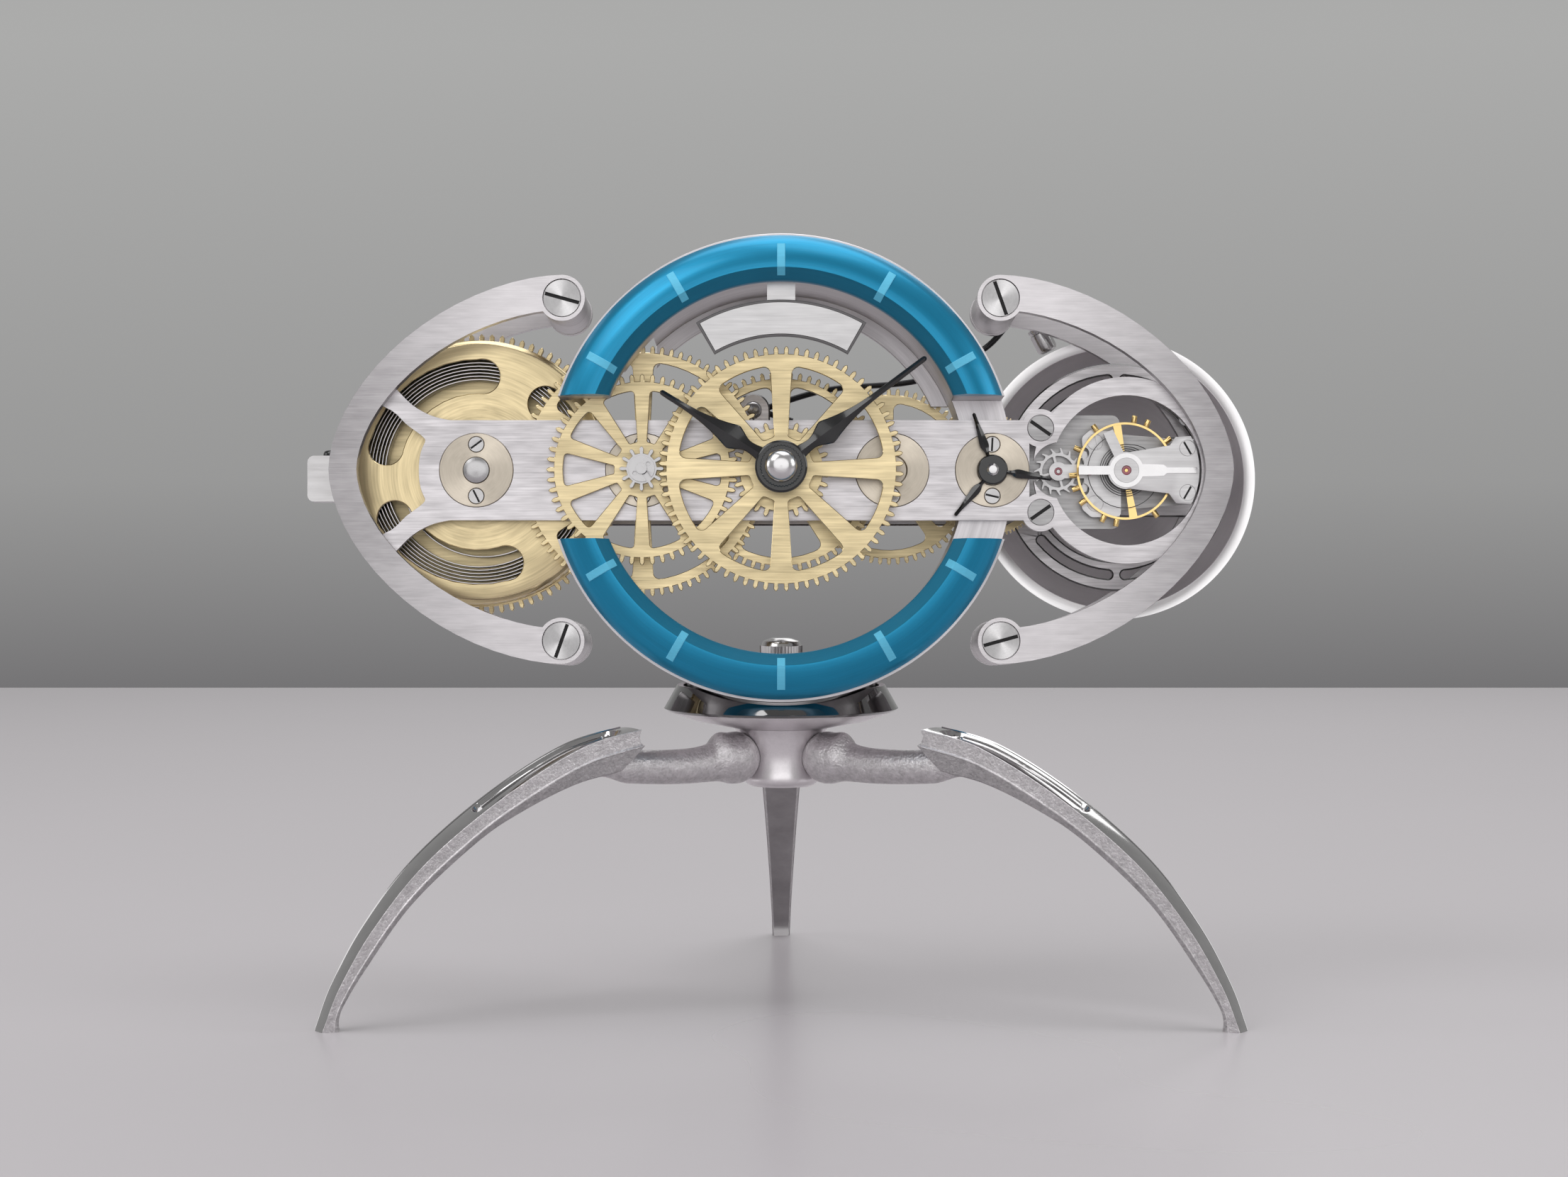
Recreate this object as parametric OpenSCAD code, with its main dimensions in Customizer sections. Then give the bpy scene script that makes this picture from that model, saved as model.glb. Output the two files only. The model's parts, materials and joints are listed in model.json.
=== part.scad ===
// Skeleton mantel clock: a horizontal movement in a round steel body on a cast tripod.
// Origin on the floor under the middle of the whole clock, +X right, +Y to the rear, +Z up.
// The body's pieces are drawn as seen from the front: x to the right of the hand arbor, z above it,
// and depth behind the face of the front plate. A span is [front depth, rear depth].

/* [Stand] */
// Radius of the circle that the three feet stand on
foot_circle_r = 128; // [118:1:138]
// Radius of a round foot pad
foot_pad_r = 2.4; // [2.2:0.1:3.4]
// Height of a foot pad
foot_pad_h = 1.4; // [1:0.1:2.4]
// Height of a leg's knee
leg_top = 70.2; // [69:0.2:74]
// Radius at which a leg's blade begins
leg_knee_r = 43.4; // [38:0.2:48]
// Width of a blade at the knee
leg_w = 12; // [9:0.5:13]
// Width of a blade at the foot
leg_foot_w = 4.8; // [3.5:0.1:5]
// Radius of a leg's round neck
leg_neck_r = 4.2; // [3.5:0.1:5]
// Radius of a leg's ball end
leg_ball_r = 6.6; // [6:0.1:7]
// Radius from the hub's axis to a ball end's centre
leg_ball_place_r = 13.7; // [13:0.1:15]
// Height of a ball end's centre
leg_ball_z = 61.5; // [61:0.1:62]
// Depth of the recess in a blade's top face
leg_recess = 1; // [0.5:0.1:1.5]
// Height of the hub's underside
hub_z = 53.8; // [52:0.2:55]
// Height of the hub's top
hub_top_z = 68.6; // [68:0.2:69.4]
// Radius of the hub at its top
hub_r = 11.9; // [11.5:0.1:13]
// Radius of the hub's waist
hub_waist_r = 9.5; // [9:0.1:10.5]
// Thickness of the cup's floor
cup_floor_t = 3.4; // [2.5:0.1:4]
// Radius of the cup's flared lip
cup_lip_r = 29.8; // [28.5:0.1:31]
// Radius of the cup's upper rim
cup_rim_r = 26.4; // [26:0.1:28]
// Height of the cup's upper rim above its floor's top, at its two sides
cup_rim_h = 7.6; // [4:0.1:8]
// Radius of the clamp bolt
clamp_bolt_r = 3; // [2.5:0.1:3.5]
// Radius of the clamp nut
clamp_nut_r = 5.4; // [5:0.1:6]
// Height of the clamp nut
clamp_nut_h = 5; // [4:0.1:6]

/* [Body] */
// Height of the body ring's lowest point over the cup's floor, before it leans back
ring_lift = 3.9; // [3.6:0.1:6]
// Backward tilt of the body in degrees
body_tilt = 4; // [3:0.5:5]
// Distance from the front plate's face back to the hub's axis
body_setback = 11; // [10:0.5:12]
// Outer radius of the steel body ring
ring_r = 58.4; // [56:0.1:61]
// Thickness of the body ring's wall
ring_wall = 11.9; // [10.5:0.1:12]
// How far the body ring reaches in front of the front plate's face
ring_front = 12.2; // [11:0.1:13]
// How far the body ring reaches behind the front plate's face
ring_rear = 30; // [28:0.1:30.2]
// Radius of the foot that stands in the cup
ring_foot_r = 24; // [22:0.1:24.4]
// Width of the arched rear flange inside the body ring
flange_w = 4; // [2.5:0.1:6]
// Thickness of the rear flange
flange_t = 3; // [2:0.1:4]
// How far the dial ring's outer edge lies inside the body ring's
dial_inset = 0.7; // [0.4:0.1:2]
// Width of the dial ring's inner bevel, from its bore to its ridge
dial_bevel_w = 3; // [2.2:0.1:4.5]
// How far the dial ring reaches inward past the body ring's bore
dial_lip = 0.2; // [0:0.1:0.5]
// Depth of the dial ring at its ridge
dial_ridge_t = 7.6; // [6:0.1:9]
// Depth of the dial ring at its outer edge
dial_edge_t = 3.6; // [2.5:0.1:4.5]
// Half height of the gap at each side of the dial ring
side_gap = 17.8; // [17.4:0.1:20]
// Width of an hour marker
marker_w = 2; // [1.5:0.1:2.5]
// Thickness of an hour marker
marker_t = 0.5; // [0.3:0.1:0.8]
// Distance from the dial ring's bore to an hour marker
marker_in_gap = 1.1; // [0.5:0.1:2]
// Distance from an hour marker to the dial ring's outer edge
marker_out_gap = 2.4; // [1.2:0.1:4]
// Distance from the name plate to the body ring's bore
name_gap = 4.5; // [4.2:0.1:6.5]
// Width of the name plate
name_w = 9.2; // [8:0.1:10.4]
// Half angle of the name plate
name_half_angle = 30.4; // [26:0.2:34]
// Thickness of the name plate
name_t = 1.2; // [0.8:0.1:1.6]
// Width of the tab that holds the name plate
name_tab_w = 7; // [5:0.2:9]

/* [Frame arms] */
// Distance from the body ring's outer edge to a post's middle
post_reach = 11.4; // [11.2:0.1:13]
// Angle of a post above or below the middle line in degrees
post_angle = 38; // [37.6:0.1:39]
// Radius of a post
post_r = 5.6; // [5:0.1:5.7]
// Radius of the boss round a frame screw
boss_r = 5.8; // [5.8:0.1:6.2]
// Half length of the frame over its tips
frame_tip = 113.4; // [112.5:0.1:115]
// Width of a frame arm at its tip
frame_tip_w = 7; // [6.8:0.1:8]
// Width of a frame arm at its boss
frame_end_w = 8.8; // [8:0.1:10]
// Thickness of a front frame arm
frame_front_t = 5; // [4:0.1:6]
// Thickness of a rear frame arm
frame_rear_t = 4; // [4:0.1:4.5]
// Radius of a frame screw's head
screw_head_r = 4.6; // [4:0.1:4.8]
// Height of a frame screw's head
screw_head_h = 2.2; // [1.5:0.1:2.4]
// Radius of a frame screw's shank
screw_r = 2.45; // [2:0.05:3]

/* [Plates] */
// Thickness of both plates
plate_t = 3; // [2.4:0.1:3.2]
// Clear distance between the plates
plate_gap = 31; // [31:0.1:32]
// Half height of the plates' bar
bar_half = 12.6; // [11.6:0.1:13.4]
// Radius of a bush disc
bush_r = 9.35; // [8.8:0.05:9.4]
// Distance of a bush screw above or below the bush's centre
bush_screw_z = 6.5; // [6:0.1:6.8]
// Radius of a bush screw's head
bush_screw_r = 1.85; // [1.5:0.05:2]
// Outer radius of the front plate's ring round the balance
front_eye_out_r = 23.5; // [22.5:0.1:24]
// Inner radius of that ring
front_eye_r = 18.9; // [18.6:0.1:19.3]
// Radius of the opening round the escape wheel
escape_eye_r = 7.05; // [6.7:0.05:7.2]
// Outer radius of the rear plate's ring
rear_eye_out_r = 29.5; // [28.5:0.1:30]
// Inner radius of the rear plate's ring
rear_eye_r = 22; // [20:0.1:22.5]
// Half height of the bar across the rear plate's ring
cross_bar_half = 10.3; // [8:0.1:11]

/* [Going train] */
// Distance from the barrel arbor to the intermediate arbor
barrel_cd = 41.8; // [41.6:0.1:42]
// Distance from the intermediate arbor to the hand arbor
intermediate_cd = 34.9; // [34.7:0.1:35.1]
// Distance from the hand arbor to the third arbor
centre_cd = 27.9; // [27.6:0.1:28]
// Distance from the third arbor to the seconds arbor
third_cd = 25.2; // [25:0.1:25.4]
// Distance from the seconds arbor to the escape arbor
fourth_cd = 17; // [16.9:0.05:17.1]
// Distance from the escape arbor to the balance staff
balance_cd = 16.8; // [16.6:0.05:17]
// Thickness of the large train wheels
wheel_t = 2; // [1.6:0.1:2.1]
// Thickness of the third and seconds wheels
fine_wheel_t = 1.3; // [1:0.1:1.4]
// Radius of the train's arbors
arbor_r = 1.5; // [1.2:0.05:1.7]
// Radius of the barrel cover
cover_r = 33.4; // [33:0.1:33.6]
// Depth of the barrel from cover face to toothed rim
barrel_depth = 11.6; // [10:0.1:12]
// Thickness of the barrel's toothed rim
barrel_rim_t = 3; // [2.4:0.1:3.2]
// Thickness of the barrel's wall and cover
barrel_wall = 1.6; // [1.2:0.1:2]
// Radius of the barrel arbor inside the barrel
barrel_core_r = 4; // [3.6:0.1:4.4]
// Radius of the barrel arbor's ends
barrel_pivot_r = 3.2; // [2.8:0.1:3.4]
// Thickness of the mainspring's strip
mainspring_t = 0.34; // [0.2:0.02:0.4]
// Radial step of the mainspring's packed coils
mainspring_pitch = 0.85; // [0.82:0.01:0.86]
// Tip radius of the ratchet wheel
ratchet_r = 11; // [9:0.1:11.4]
// Thickness of the ratchet wheel
ratchet_t = 2; // [1.5:0.1:2.2]

/* [Winding crank] */
// Height and depth of the crank's end block
crank_block = 12; // [10:0.5:13]
// Height of the crank's arm
crank_arm_h = 8; // [6:0.5:9]
// Thickness of the crank's arm
crank_arm_t = 4; // [3:0.1:5]
// Radius of the crank's handle
crank_handle_r = 4.4; // [3.5:0.1:5]
// Length of the crank's handle
crank_handle_l = 15; // [12:0.5:18]
// Radius of the clamp screw's knob on the end block
crank_knob_r = 2.15; // [1.8:0.05:2.6]
// Height of that knob
crank_knob_h = 1.7; // [1.2:0.1:2.2]

/* [Hands and motion work] */
// Thickness of the motion work's wheels
motion_t = 1.8; // [1.4:0.1:1.9]
// Distance from the minute hand's tip to the dial ring's bore
minute_hand_gap = 1.3; // [0.7:0.1:3.3]
// How much shorter the hour hand is than the minute hand
hour_hand_less = 9.6; // [8:0.1:12]
// Length of each arm of the seconds hand
seconds_hand_l = 15; // [13:0.1:16]
// Thickness of the hands
hand_t = 1.2; // [0.8:0.1:1.3]
// Widest width of the hour and minute hands
hand_w = 5; // [4:0.1:6]
// Width of a hand's tip
hand_tip_w = 1.3; // [1:0.1:1.6]
// Outer radius of the hands' rings
hand_ring_r = 6.5; // [6:0.1:7]
// Radius of the knurled hand nut
hand_nut_r = 5.3; // [5:0.1:5.6]
// Radius of the domed cap
hand_cap_r = 4.1; // [3.6:0.1:4.4]
// Hour hand's angle left of upright in degrees
hour_hand_angle = 58; // [0:1:90]
// Minute hand's angle right of upright in degrees
minute_hand_angle = 53; // [0:1:90]

/* [Escapement] */
// Tip radius of the escape wheel
escape_r = 6; // [5.6:0.05:6.2]
// Thickness of the escape wheel and pallet fork
escape_t = 0.7; // [0.5:0.05:0.8]
// Distance from the escape arbor to the pallet arbor
pallet_cd = 7.9; // [7.7:0.05:8.1]
// Thickness of the escapement's platform
platform_t = 1.8; // [1.4:0.1:2]
// Outer radius of the balance rim
balance_r = 12.3; // [11.5:0.1:12.6]
// Radial thickness of the balance rim
balance_rim_w = 0.55; // [0.4:0.05:0.8]
// Depth of the balance rim
balance_rim_t = 1.4; // [1:0.1:1.6]
// Radius of a timing screw
timing_screw_r = 0.8; // [0.6:0.05:0.9]
// How far a timing screw stands out of the rim
timing_screw_l = 1.9; // [1.5:0.1:2.4]
// Thickness of the hairspring's strip
hairspring_t = 0.12; // [0.08:0.01:0.13]
// Width of the hairspring's strip
hairspring_w = 0.6; // [0.4:0.05:0.65]
// Radial step of the hairspring's coils
hairspring_pitch = 0.55; // [0.54:0.005:0.56]
// Radius of the hairspring's outer coil
hairspring_outer_r = 9.6; // [9.2:0.05:9.8]
// Thickness of the balance cock
cock_t = 1.4; // [1:0.1:1.6]
// Thickness of the regulator
regulator_t = 0.5; // [0.4:0.05:0.6]

/* [Strike] */
// Radius of the bell's mouth
bell_r = 36.8; // [35:0.1:38]
// Depth of the bell
bell_h = 22.5; // [18:0.5:26]
// Thickness of the bell's wall
bell_wall = 1.8; // [1.4:0.1:2.4]
// Radius of the hammer's wire arm
hammer_wire_r = 0.8; // [0.6:0.05:1]
// Radius of the hammer's head
hammer_head_r = 2.7; // [2.2:0.1:3.2]
// Length of the hammer's head
hammer_head_l = 7; // [6:0.1:8]
// Largest radius of the lifting cam
cam_r = 14; // [12:0.1:14.3]

/* [Hidden] */
$fn = 64;

// Tooth counts
barrel_teeth = 84;
intermediate_leaves = 16;
intermediate_teeth = 80;
centre_leaves = 10;
centre_teeth = 64;
third_leaves = 8;
third_teeth = 60;
fourth_leaves = 8;
fourth_teeth = 96;
escape_leaves = 8;
escape_teeth = 15;
cannon_teeth = 28;
minute_teeth = 56;
minute_leaves = 12;
hour_teeth = 72;
ratchet_teeth = 24;

// Clearances and small common sizes
cut_over = 1;
seat_gap = 0.02;
run_gap = 0.05;
wheel_gap = 1.2;
screw_slot_w = 0.9;
screw_slot_h = 0.8;
thin_slot_w = 0.5;
thin_slot_h = 0.4;
arc_steps = 8;
fillet_steps = 4;
outline_steps = 5;

// Gear modules from the centre distances
barrel_m = 2 * barrel_cd / (barrel_teeth + intermediate_leaves);
intermediate_m = 2 * intermediate_cd / (intermediate_teeth + centre_leaves);
centre_m = 2 * centre_cd / (centre_teeth + third_leaves);
third_m = 2 * third_cd / (third_teeth + fourth_leaves);
fourth_m = 2 * fourth_cd / (fourth_teeth + escape_leaves);
motion_m = 2 * intermediate_cd / (minute_teeth + cannon_teeth);

// Arbor places to the right of the hand arbor
intermediate_x = -intermediate_cd;
barrel_x = intermediate_x - barrel_cd;
third_x = centre_cd;
fourth_x = third_x + third_cd;
escape_x = fourth_x + fourth_cd;
pallet_x = escape_x + pallet_cd;
balance_x = escape_x + balance_cd;
half_length = balance_x + bell_r;

// Spans of depth from the front to the rear
function before(span, gap, t) = [span[0] - gap - t, span[0] - gap];
function behind(span, gap, t) = [span[1] + gap, span[1] + gap + t];
function grown(span, front, rear) = [span[0] - front, span[1] + rear];
front_plate_span = [0, plate_t];
rear_plate_span = behind(front_plate_span, plate_gap, plate_t);
intermediate_span = behind(front_plate_span, wheel_gap, wheel_t);
cover_span = behind(intermediate_span, wheel_gap, barrel_wall);
rim_span = [cover_span[0] + barrel_depth, cover_span[0] + barrel_depth + barrel_rim_t];
centre_wheel_span = behind(intermediate_span, 2 * wheel_gap, wheel_t);
third_span = before(rear_plate_span, wheel_gap, fine_wheel_t);
fourth_span = before(third_span, 3 * wheel_gap, fine_wheel_t);
minute_span = before(front_plate_span, wheel_gap, motion_t);
hour_span = before(minute_span, 2 * wheel_gap, motion_t);
front_frame_span = before(front_plate_span, 0, frame_front_t);
rear_frame_span = behind(rear_plate_span, 0, frame_rear_t);
ring_span = [-ring_front, ring_rear];
dial_span = before(ring_span, 0, dial_ridge_t);
name_span = [1 - ring_front, 1 - ring_front + name_t];
hand_gap = 0.8;
hour_hand_span = [dial_span[0] + hand_t, dial_span[0] + 2 * hand_t] + [1, 1] * hand_gap * 2.5;
minute_hand_span = before(hour_hand_span, hand_gap, hand_t);
hand_nut_t = 1.6;
hand_nut_span = before(minute_hand_span, seat_gap, hand_nut_t);
hand_cap_h = 4.4;

// Escapement layers, recessed in the front plate's ring
regulator_span = [0.1, 0.1 + regulator_t];
cock_span = behind(regulator_span, seat_gap, cock_t);
hairspring_span = behind(cock_span, 0.5, hairspring_w);
rim_layer_span = behind(hairspring_span, 0.7, balance_rim_t);
bridge_span = behind(rim_layer_span, 0.5, 1);
escape_span = behind(bridge_span, 0.3, escape_t);
platform_span = behind(escape_span, 1.6, platform_t);
crank_span = behind(rear_frame_span, 2, crank_arm_t);
hammer_depth = rear_frame_span[1] + 3.5;
bell_front = rear_frame_span[1] + 0.5;

// Places in the room frame
hub_y = -foot_circle_r / 4;
body_y = hub_y - body_setback;
cup_floor_z = hub_top_z + cup_floor_t;
axis_z = cup_floor_z + ring_lift + ring_r;
ring_bore_r = ring_r - ring_wall;
flange_r = ring_bore_r - flange_w;
dial_r = ring_r - dial_inset;
dial_bore_r = ring_bore_r - dial_lip;
dial_ridge_r = dial_bore_r + dial_bevel_w;
marker_in_r = dial_bore_r + marker_in_gap;
marker_out_r = dial_r - marker_out_gap;
name_out_r = ring_bore_r - name_gap;
name_in_r = name_out_r - name_w;
minute_hand_l = dial_bore_r - minute_hand_gap;
hour_hand_l = minute_hand_l - hour_hand_less;
post_x = (ring_r + post_reach) * cos(post_angle);
post_z = (ring_r + post_reach) * sin(post_angle);
bolt_depth = (body_setback + ring_bore_r * sin(body_tilt)) / cos(body_tilt);
nut_seat_drop = 0.5;
nut_seat_z = axis_z - bolt_depth * sin(body_tilt) - ring_bore_r * cos(body_tilt) - nut_seat_drop;

// Colours
steel = [0.78, 0.77, 0.78];
bright_steel = [0.86, 0.86, 0.87];
brass = [0.84, 0.75, 0.5];
golden = [0.85, 0.68, 0.3];
nickel = [0.82, 0.79, 0.72];
black = [0.08, 0.08, 0.09];
ruby = [0.6, 0.05, 0.2];

// Helpers for the body's pieces
module body_frame() {
    translate([0, body_y, axis_z]) rotate([-body_tilt, 0, 0]) children();
}

module slab(span) {
    translate([0, span[1], 0]) rotate([90, 0, 0]) linear_extrude(span[1] - span[0]) children();
}

module rod(span, r, x = 0, z = 0) {
    translate([x, span[1], z]) rotate([90, 0, 0]) cylinder(h = span[1] - span[0], r = r);
}

module hole(span, r, x = 0, z = 0) {
    rod(grown(span, cut_over, cut_over), r, x, z);
}

module tube(span, r, bore, x = 0, z = 0) {
    difference() {
        rod(span, r, x, z);
        hole(span, bore, x, z);
    }
}

// A solid turned about a line along the depth; its profile holds [radius, depth] points
module turned(profile, x = 0, z = 0) {
    translate([x, 0, z]) rotate([90, 0, 0]) rotate_extrude() polygon([for (p = profile) [p.x, -p.y]]);
}

// A drawing plane at one depth, seen from the front
module in_plane(depth) {
    translate([0, depth, 0]) rotate([90, 0, 0]) children();
}

module mirrored_z() {
    children();
    mirror([0, 0, 1]) children();
}

module mirrored_y() {
    children();
    mirror([0, 1, 0]) children();
}

// Points on an arc, on a curve through a few points, and on an outline with rounded corners
function polar(r, a) = r * [cos(a), sin(a)];
function arc(r, from, to, steps) = [for (i = [0:steps]) polar(r, from + (to - from) * i / steps)];
function curve_point(a, b, c, d, t) =
    0.5 * (2 * b + (c - a) * t + (2 * a - 5 * b + 4 * c - d) * t * t + (3 * b - a - 3 * c + d) * t * t * t);
function smooth(points, steps = outline_steps) = let (last = len(points) - 1) [
    for (i = [0:last - 1]) for (k = [0:steps - 1])
        curve_point(points[max(i - 1, 0)], points[i], points[i + 1], points[min(i + 2, last)], k / steps),
    points[last]
];
function unit(v) = v / norm(v);
function fillet(a, b, c, r) = r == 0 ? [b] : let (
    u = unit(a - b),
    w = unit(c - b),
    half = acos(u * w) / 2,
    centre = b + unit(u + w) * r / sin(half),
    start = b + u * r / tan(half) - centre,
    end = b + w * r / tan(half) - centre,
    from = atan2(start.y, start.x),
    turn = (atan2(end.y, end.x) - from + 540) % 360 - 180
) [for (i = [0:fillet_steps]) centre + polar(r, from + turn * i / fillet_steps)];
function rounded(points, radii) = let (n = len(points)) [
    for (i = [0:n - 1])
        each fillet(points[(i + n - 1) % n], points[i], points[(i + 1) % n], is_list(radii) ? radii[i] : radii)
];
function side_step(points, i) = let (
    d = unit(points[min(i + 1, len(points) - 1)] - points[max(i - 1, 0)])
) [-d.y, d.x];
// The outline of a band of even width along a path
function band(points, half) = concat(
    [for (i = [0:len(points) - 1]) points[i] + half * side_step(points, i)],
    [for (i = [len(points) - 1:-1:0]) points[i] - half * side_step(points, i)]
);
function flipped(points) = [for (i = [len(points) - 1:-1:0]) points[i]];
function mirrored_outline(points) = concat(points, [for (p = flipped(points)) [p.x, -p.y]]);

// Gear teeth. A wheel's tooth has straight flanks and a pointed rounded tip, and a leaf is narrower.
wheel_addendum_share = 1;
leaf_addendum_share = 0.75;
dedendum_share = 1.35;
wheel_half_share = 0.225;
leaf_half_share = 0.18;
tip_steps = 2;
function tooth(m, teeth, addendum, half_share) = let (
    pitch_r = m * teeth / 2,
    half = 360 / teeth * half_share,
    profile = concat(
        [[pitch_r - dedendum_share * m, half], [pitch_r, half]],
        [for (k = [1:tip_steps]) let (s = k / tip_steps) [pitch_r + addendum * m * s, half * (1 - s * s)]]
    )
) concat(
    [for (p = profile) [p[0], -p[1]]],
    [for (i = [len(profile) - 2:-1:0]) profile[i]]
);
function gear_outline(m, teeth, phase, addendum, half_share) = let (flank = tooth(m, teeth, addendum, half_share)) [
    for (i = [0:teeth - 1]) for (p = flank) polar(p[0], phase + 360 / teeth * i + p[1])
];
// A gear with a tooth pointing right, and one with a gap pointing left to take it
function left_phase() = 0;
function right_phase(teeth) = 180 - 180 / teeth;
function root_r(m, teeth) = m * (teeth / 2 - dedendum_share);
function tip_r(m, teeth) = m * (teeth / 2 + wheel_addendum_share);

module wheel_teeth(m, teeth, phase) {
    polygon(gear_outline(m, teeth, phase, wheel_addendum_share, wheel_half_share));
}

module leaf_teeth(m, teeth, phase) {
    polygon(gear_outline(m, teeth, phase, leaf_addendum_share, leaf_half_share));
}

// One window between two spokes that widen outward
function window(spokes, hub, rim, w_hub, w_rim, r) = let (
    half_hub = asin(w_hub / 2 / hub),
    half_rim = asin(w_rim / 2 / rim),
    step = 360 / spokes,
    outer = arc(rim, half_rim, step - half_rim, arc_steps),
    inner = arc(hub, step - half_hub, half_hub, 1),
    corners = [for (i = [0:arc_steps]) i == 0 || i == arc_steps ? r : 0]
) rounded(concat(outer, inner), concat(corners, [r / 2, r / 2]));

module windows(spokes, hub, rim, w_hub, w_rim, r, turn) {
    for (i = [0:spokes - 1]) rotate(turn + 360 / spokes * i) polygon(window(spokes, hub, rim, w_hub, w_rim, r));
}

// A straight slot across a screw's head, cut from the front or from the rear
module slot(depth, x, z, turn, w, h, r) {
    translate([x, depth, z]) rotate([0, turn, 0]) cube([3 * r, 2 * h, w], center = true);
}

// Stand
hub_profile_shares = [[0.78, 0], [0.93, 0.05], [0.99, 0.14], [0.97, 0.3], [0.98, 0.55], [1.12, 0.85], [1.25, 1]];
bolt_head_r = clamp_bolt_r + 2.2;
bolt_head_h = 3.2;
cup_lip_share = 0.22;
// Clearance of the rim's saddle round the body ring that leans over it
cup_saddle_gap = 0.6;
cup_neck_share = 0.55;
leg_top_shares = [[0, 1], [0.191, 0.944], [0.441, 0.783], [0.679, 0.57], [0.841, 0.349], [0.94, 0.157], [0.992, 0.03]];
leg_under_shares = [
    [0.951, 0.03], [0.858, 0.214], [0.719, 0.427], [0.522, 0.627], [0.377, 0.729], [0.203, 0.816], [0.041, 0.855],
    [0, 0.869]
];
leg_recess_from_share = 0.08;
leg_recess_to_share = 0.47;
leg_recess_w_share = 0.42;
// A leg's width falls from knee to foot with this power of the share of the way
leg_taper_power = 2.3;
leg_plan_step = 0.125;
leg_end_r = foot_circle_r + foot_pad_r / 2;
foot_neck_r = 2;
foot_neck_h = 3;
neck_drop = 1.1;
neck_taper_l = 9;

module stand_hub() {
    height = hub_top_z - hub_z;
    shape = smooth([for (p = hub_profile_shares) [p.x * hub_waist_r, hub_z + p.y * height]]);
    color(bright_steel) translate([0, hub_y, 0]) difference() {
        rotate_extrude() polygon(concat([[0, hub_z]], shape, [[hub_r, hub_top_z], [0, hub_top_z]]));
        translate([0, 0, hub_z - cut_over]) cylinder(h = height + 2 * cut_over, r = clamp_bolt_r + run_gap);
        translate([0, 0, hub_z - cut_over]) cylinder(h = bolt_head_h + cut_over, r = bolt_head_r + run_gap);
        for (a = [90, 210, 330]) rotate(a) translate([leg_ball_place_r, 0, leg_ball_z])
            sphere(r = leg_ball_r + run_gap);
    }
}

module stand_cup() {
    color(bright_steel) translate([0, hub_y, 0]) difference() {
        rotate_extrude() polygon([
            [0, hub_top_z], [hub_r, hub_top_z],
            [hub_r + (cup_lip_r - hub_r) * cup_neck_share, hub_top_z + cup_floor_t * cup_neck_share],
            [cup_lip_r, cup_floor_z + cup_rim_h * cup_lip_share],
            [cup_rim_r, cup_floor_z + cup_rim_h], [ring_foot_r + 0.8, cup_floor_z + cup_rim_h],
            [ring_foot_r + 0.3, cup_floor_z], [0, cup_floor_z]
        ]);
        translate([0, 0, hub_top_z - cut_over])
            cylinder(h = cup_floor_t + 2 * cut_over, r = clamp_bolt_r + run_gap);
        translate([0, -hub_y, 0]) body_frame()
            rod([-ring_r, ring_rear + cup_saddle_gap], ring_r + cup_saddle_gap);
    }
}

module leg(turn) {
    span_r = leg_end_r - leg_knee_r;
    top = smooth([for (p = leg_top_shares) [leg_knee_r + p.x * span_r, p.y * leg_top]]);
    under = smooth([for (p = leg_under_shares) [leg_knee_r + p.x * span_r, p.y * leg_top]]);
    recess = [for (p = top) let (s = (p.x - leg_knee_r) / span_r)
        if (s > leg_recess_from_share && s < leg_recess_to_share) p];
    color(steel) translate([0, hub_y, 0]) rotate(turn) {
        difference() {
            union() {
                translate([leg_ball_place_r, 0, leg_ball_z]) sphere(r = leg_ball_r);
                translate([leg_ball_place_r, 0, leg_ball_z - neck_drop]) rotate([0, 90, 0]) rotate_extrude() polygon([
                    [0, 0], [leg_neck_r, 0], [leg_neck_r, leg_knee_r - leg_ball_place_r],
                    [leg_neck_r / 2, leg_knee_r - leg_ball_place_r + neck_taper_l],
                    [0, leg_knee_r - leg_ball_place_r + neck_taper_l]
                ]);
                intersection() {
                    rotate([90, 0, 0]) linear_extrude(2 * leg_w, center = true) polygon(concat(top, under));
                    blade_plan(1);
                }
                translate([foot_circle_r, 0, 0]) cylinder(h = foot_pad_h, r = foot_pad_r);
                translate([foot_circle_r, 0, 0]) cylinder(h = foot_pad_h + foot_neck_h, r = foot_neck_r);
            }
            intersection() {
                rotate([90, 0, 0]) linear_extrude(2 * leg_w, center = true) polygon(concat(
                    [for (p = recess) p - [0, leg_recess]],
                    [for (p = flipped(recess)) p + [0, leg_recess]]
                ));
                blade_plan(leg_recess_w_share);
            }
        }
    }
}

module blade_plan(w_share) {
    side = [for (s = [0:leg_plan_step:1]) [
        leg_knee_r + s * (leg_end_r - leg_knee_r),
        (leg_foot_w + (leg_w - leg_foot_w) * (1 - pow(s, leg_taper_power))) * w_share / 2
    ]];
    linear_extrude(leg_top + cut_over) polygon(concat(side, [for (p = flipped(side)) [p.x, -p.y]]));
}

module leg_front_left() { leg(210); }
module leg_front_right() { mirror([1, 0, 0]) leg(210); }
module leg_rear() { leg(90); }

knurl_teeth = 40;
knurl_depth = 0.35;
nut_dome_share = 0.62;
nut_top_share = 0.45;
function knurl_outline(r, teeth, depth) = [
    for (i = [0:teeth - 1]) each [polar(r, 360 * i / teeth), polar(r - depth, 360 * (i + 0.5) / teeth)]
];

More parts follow.
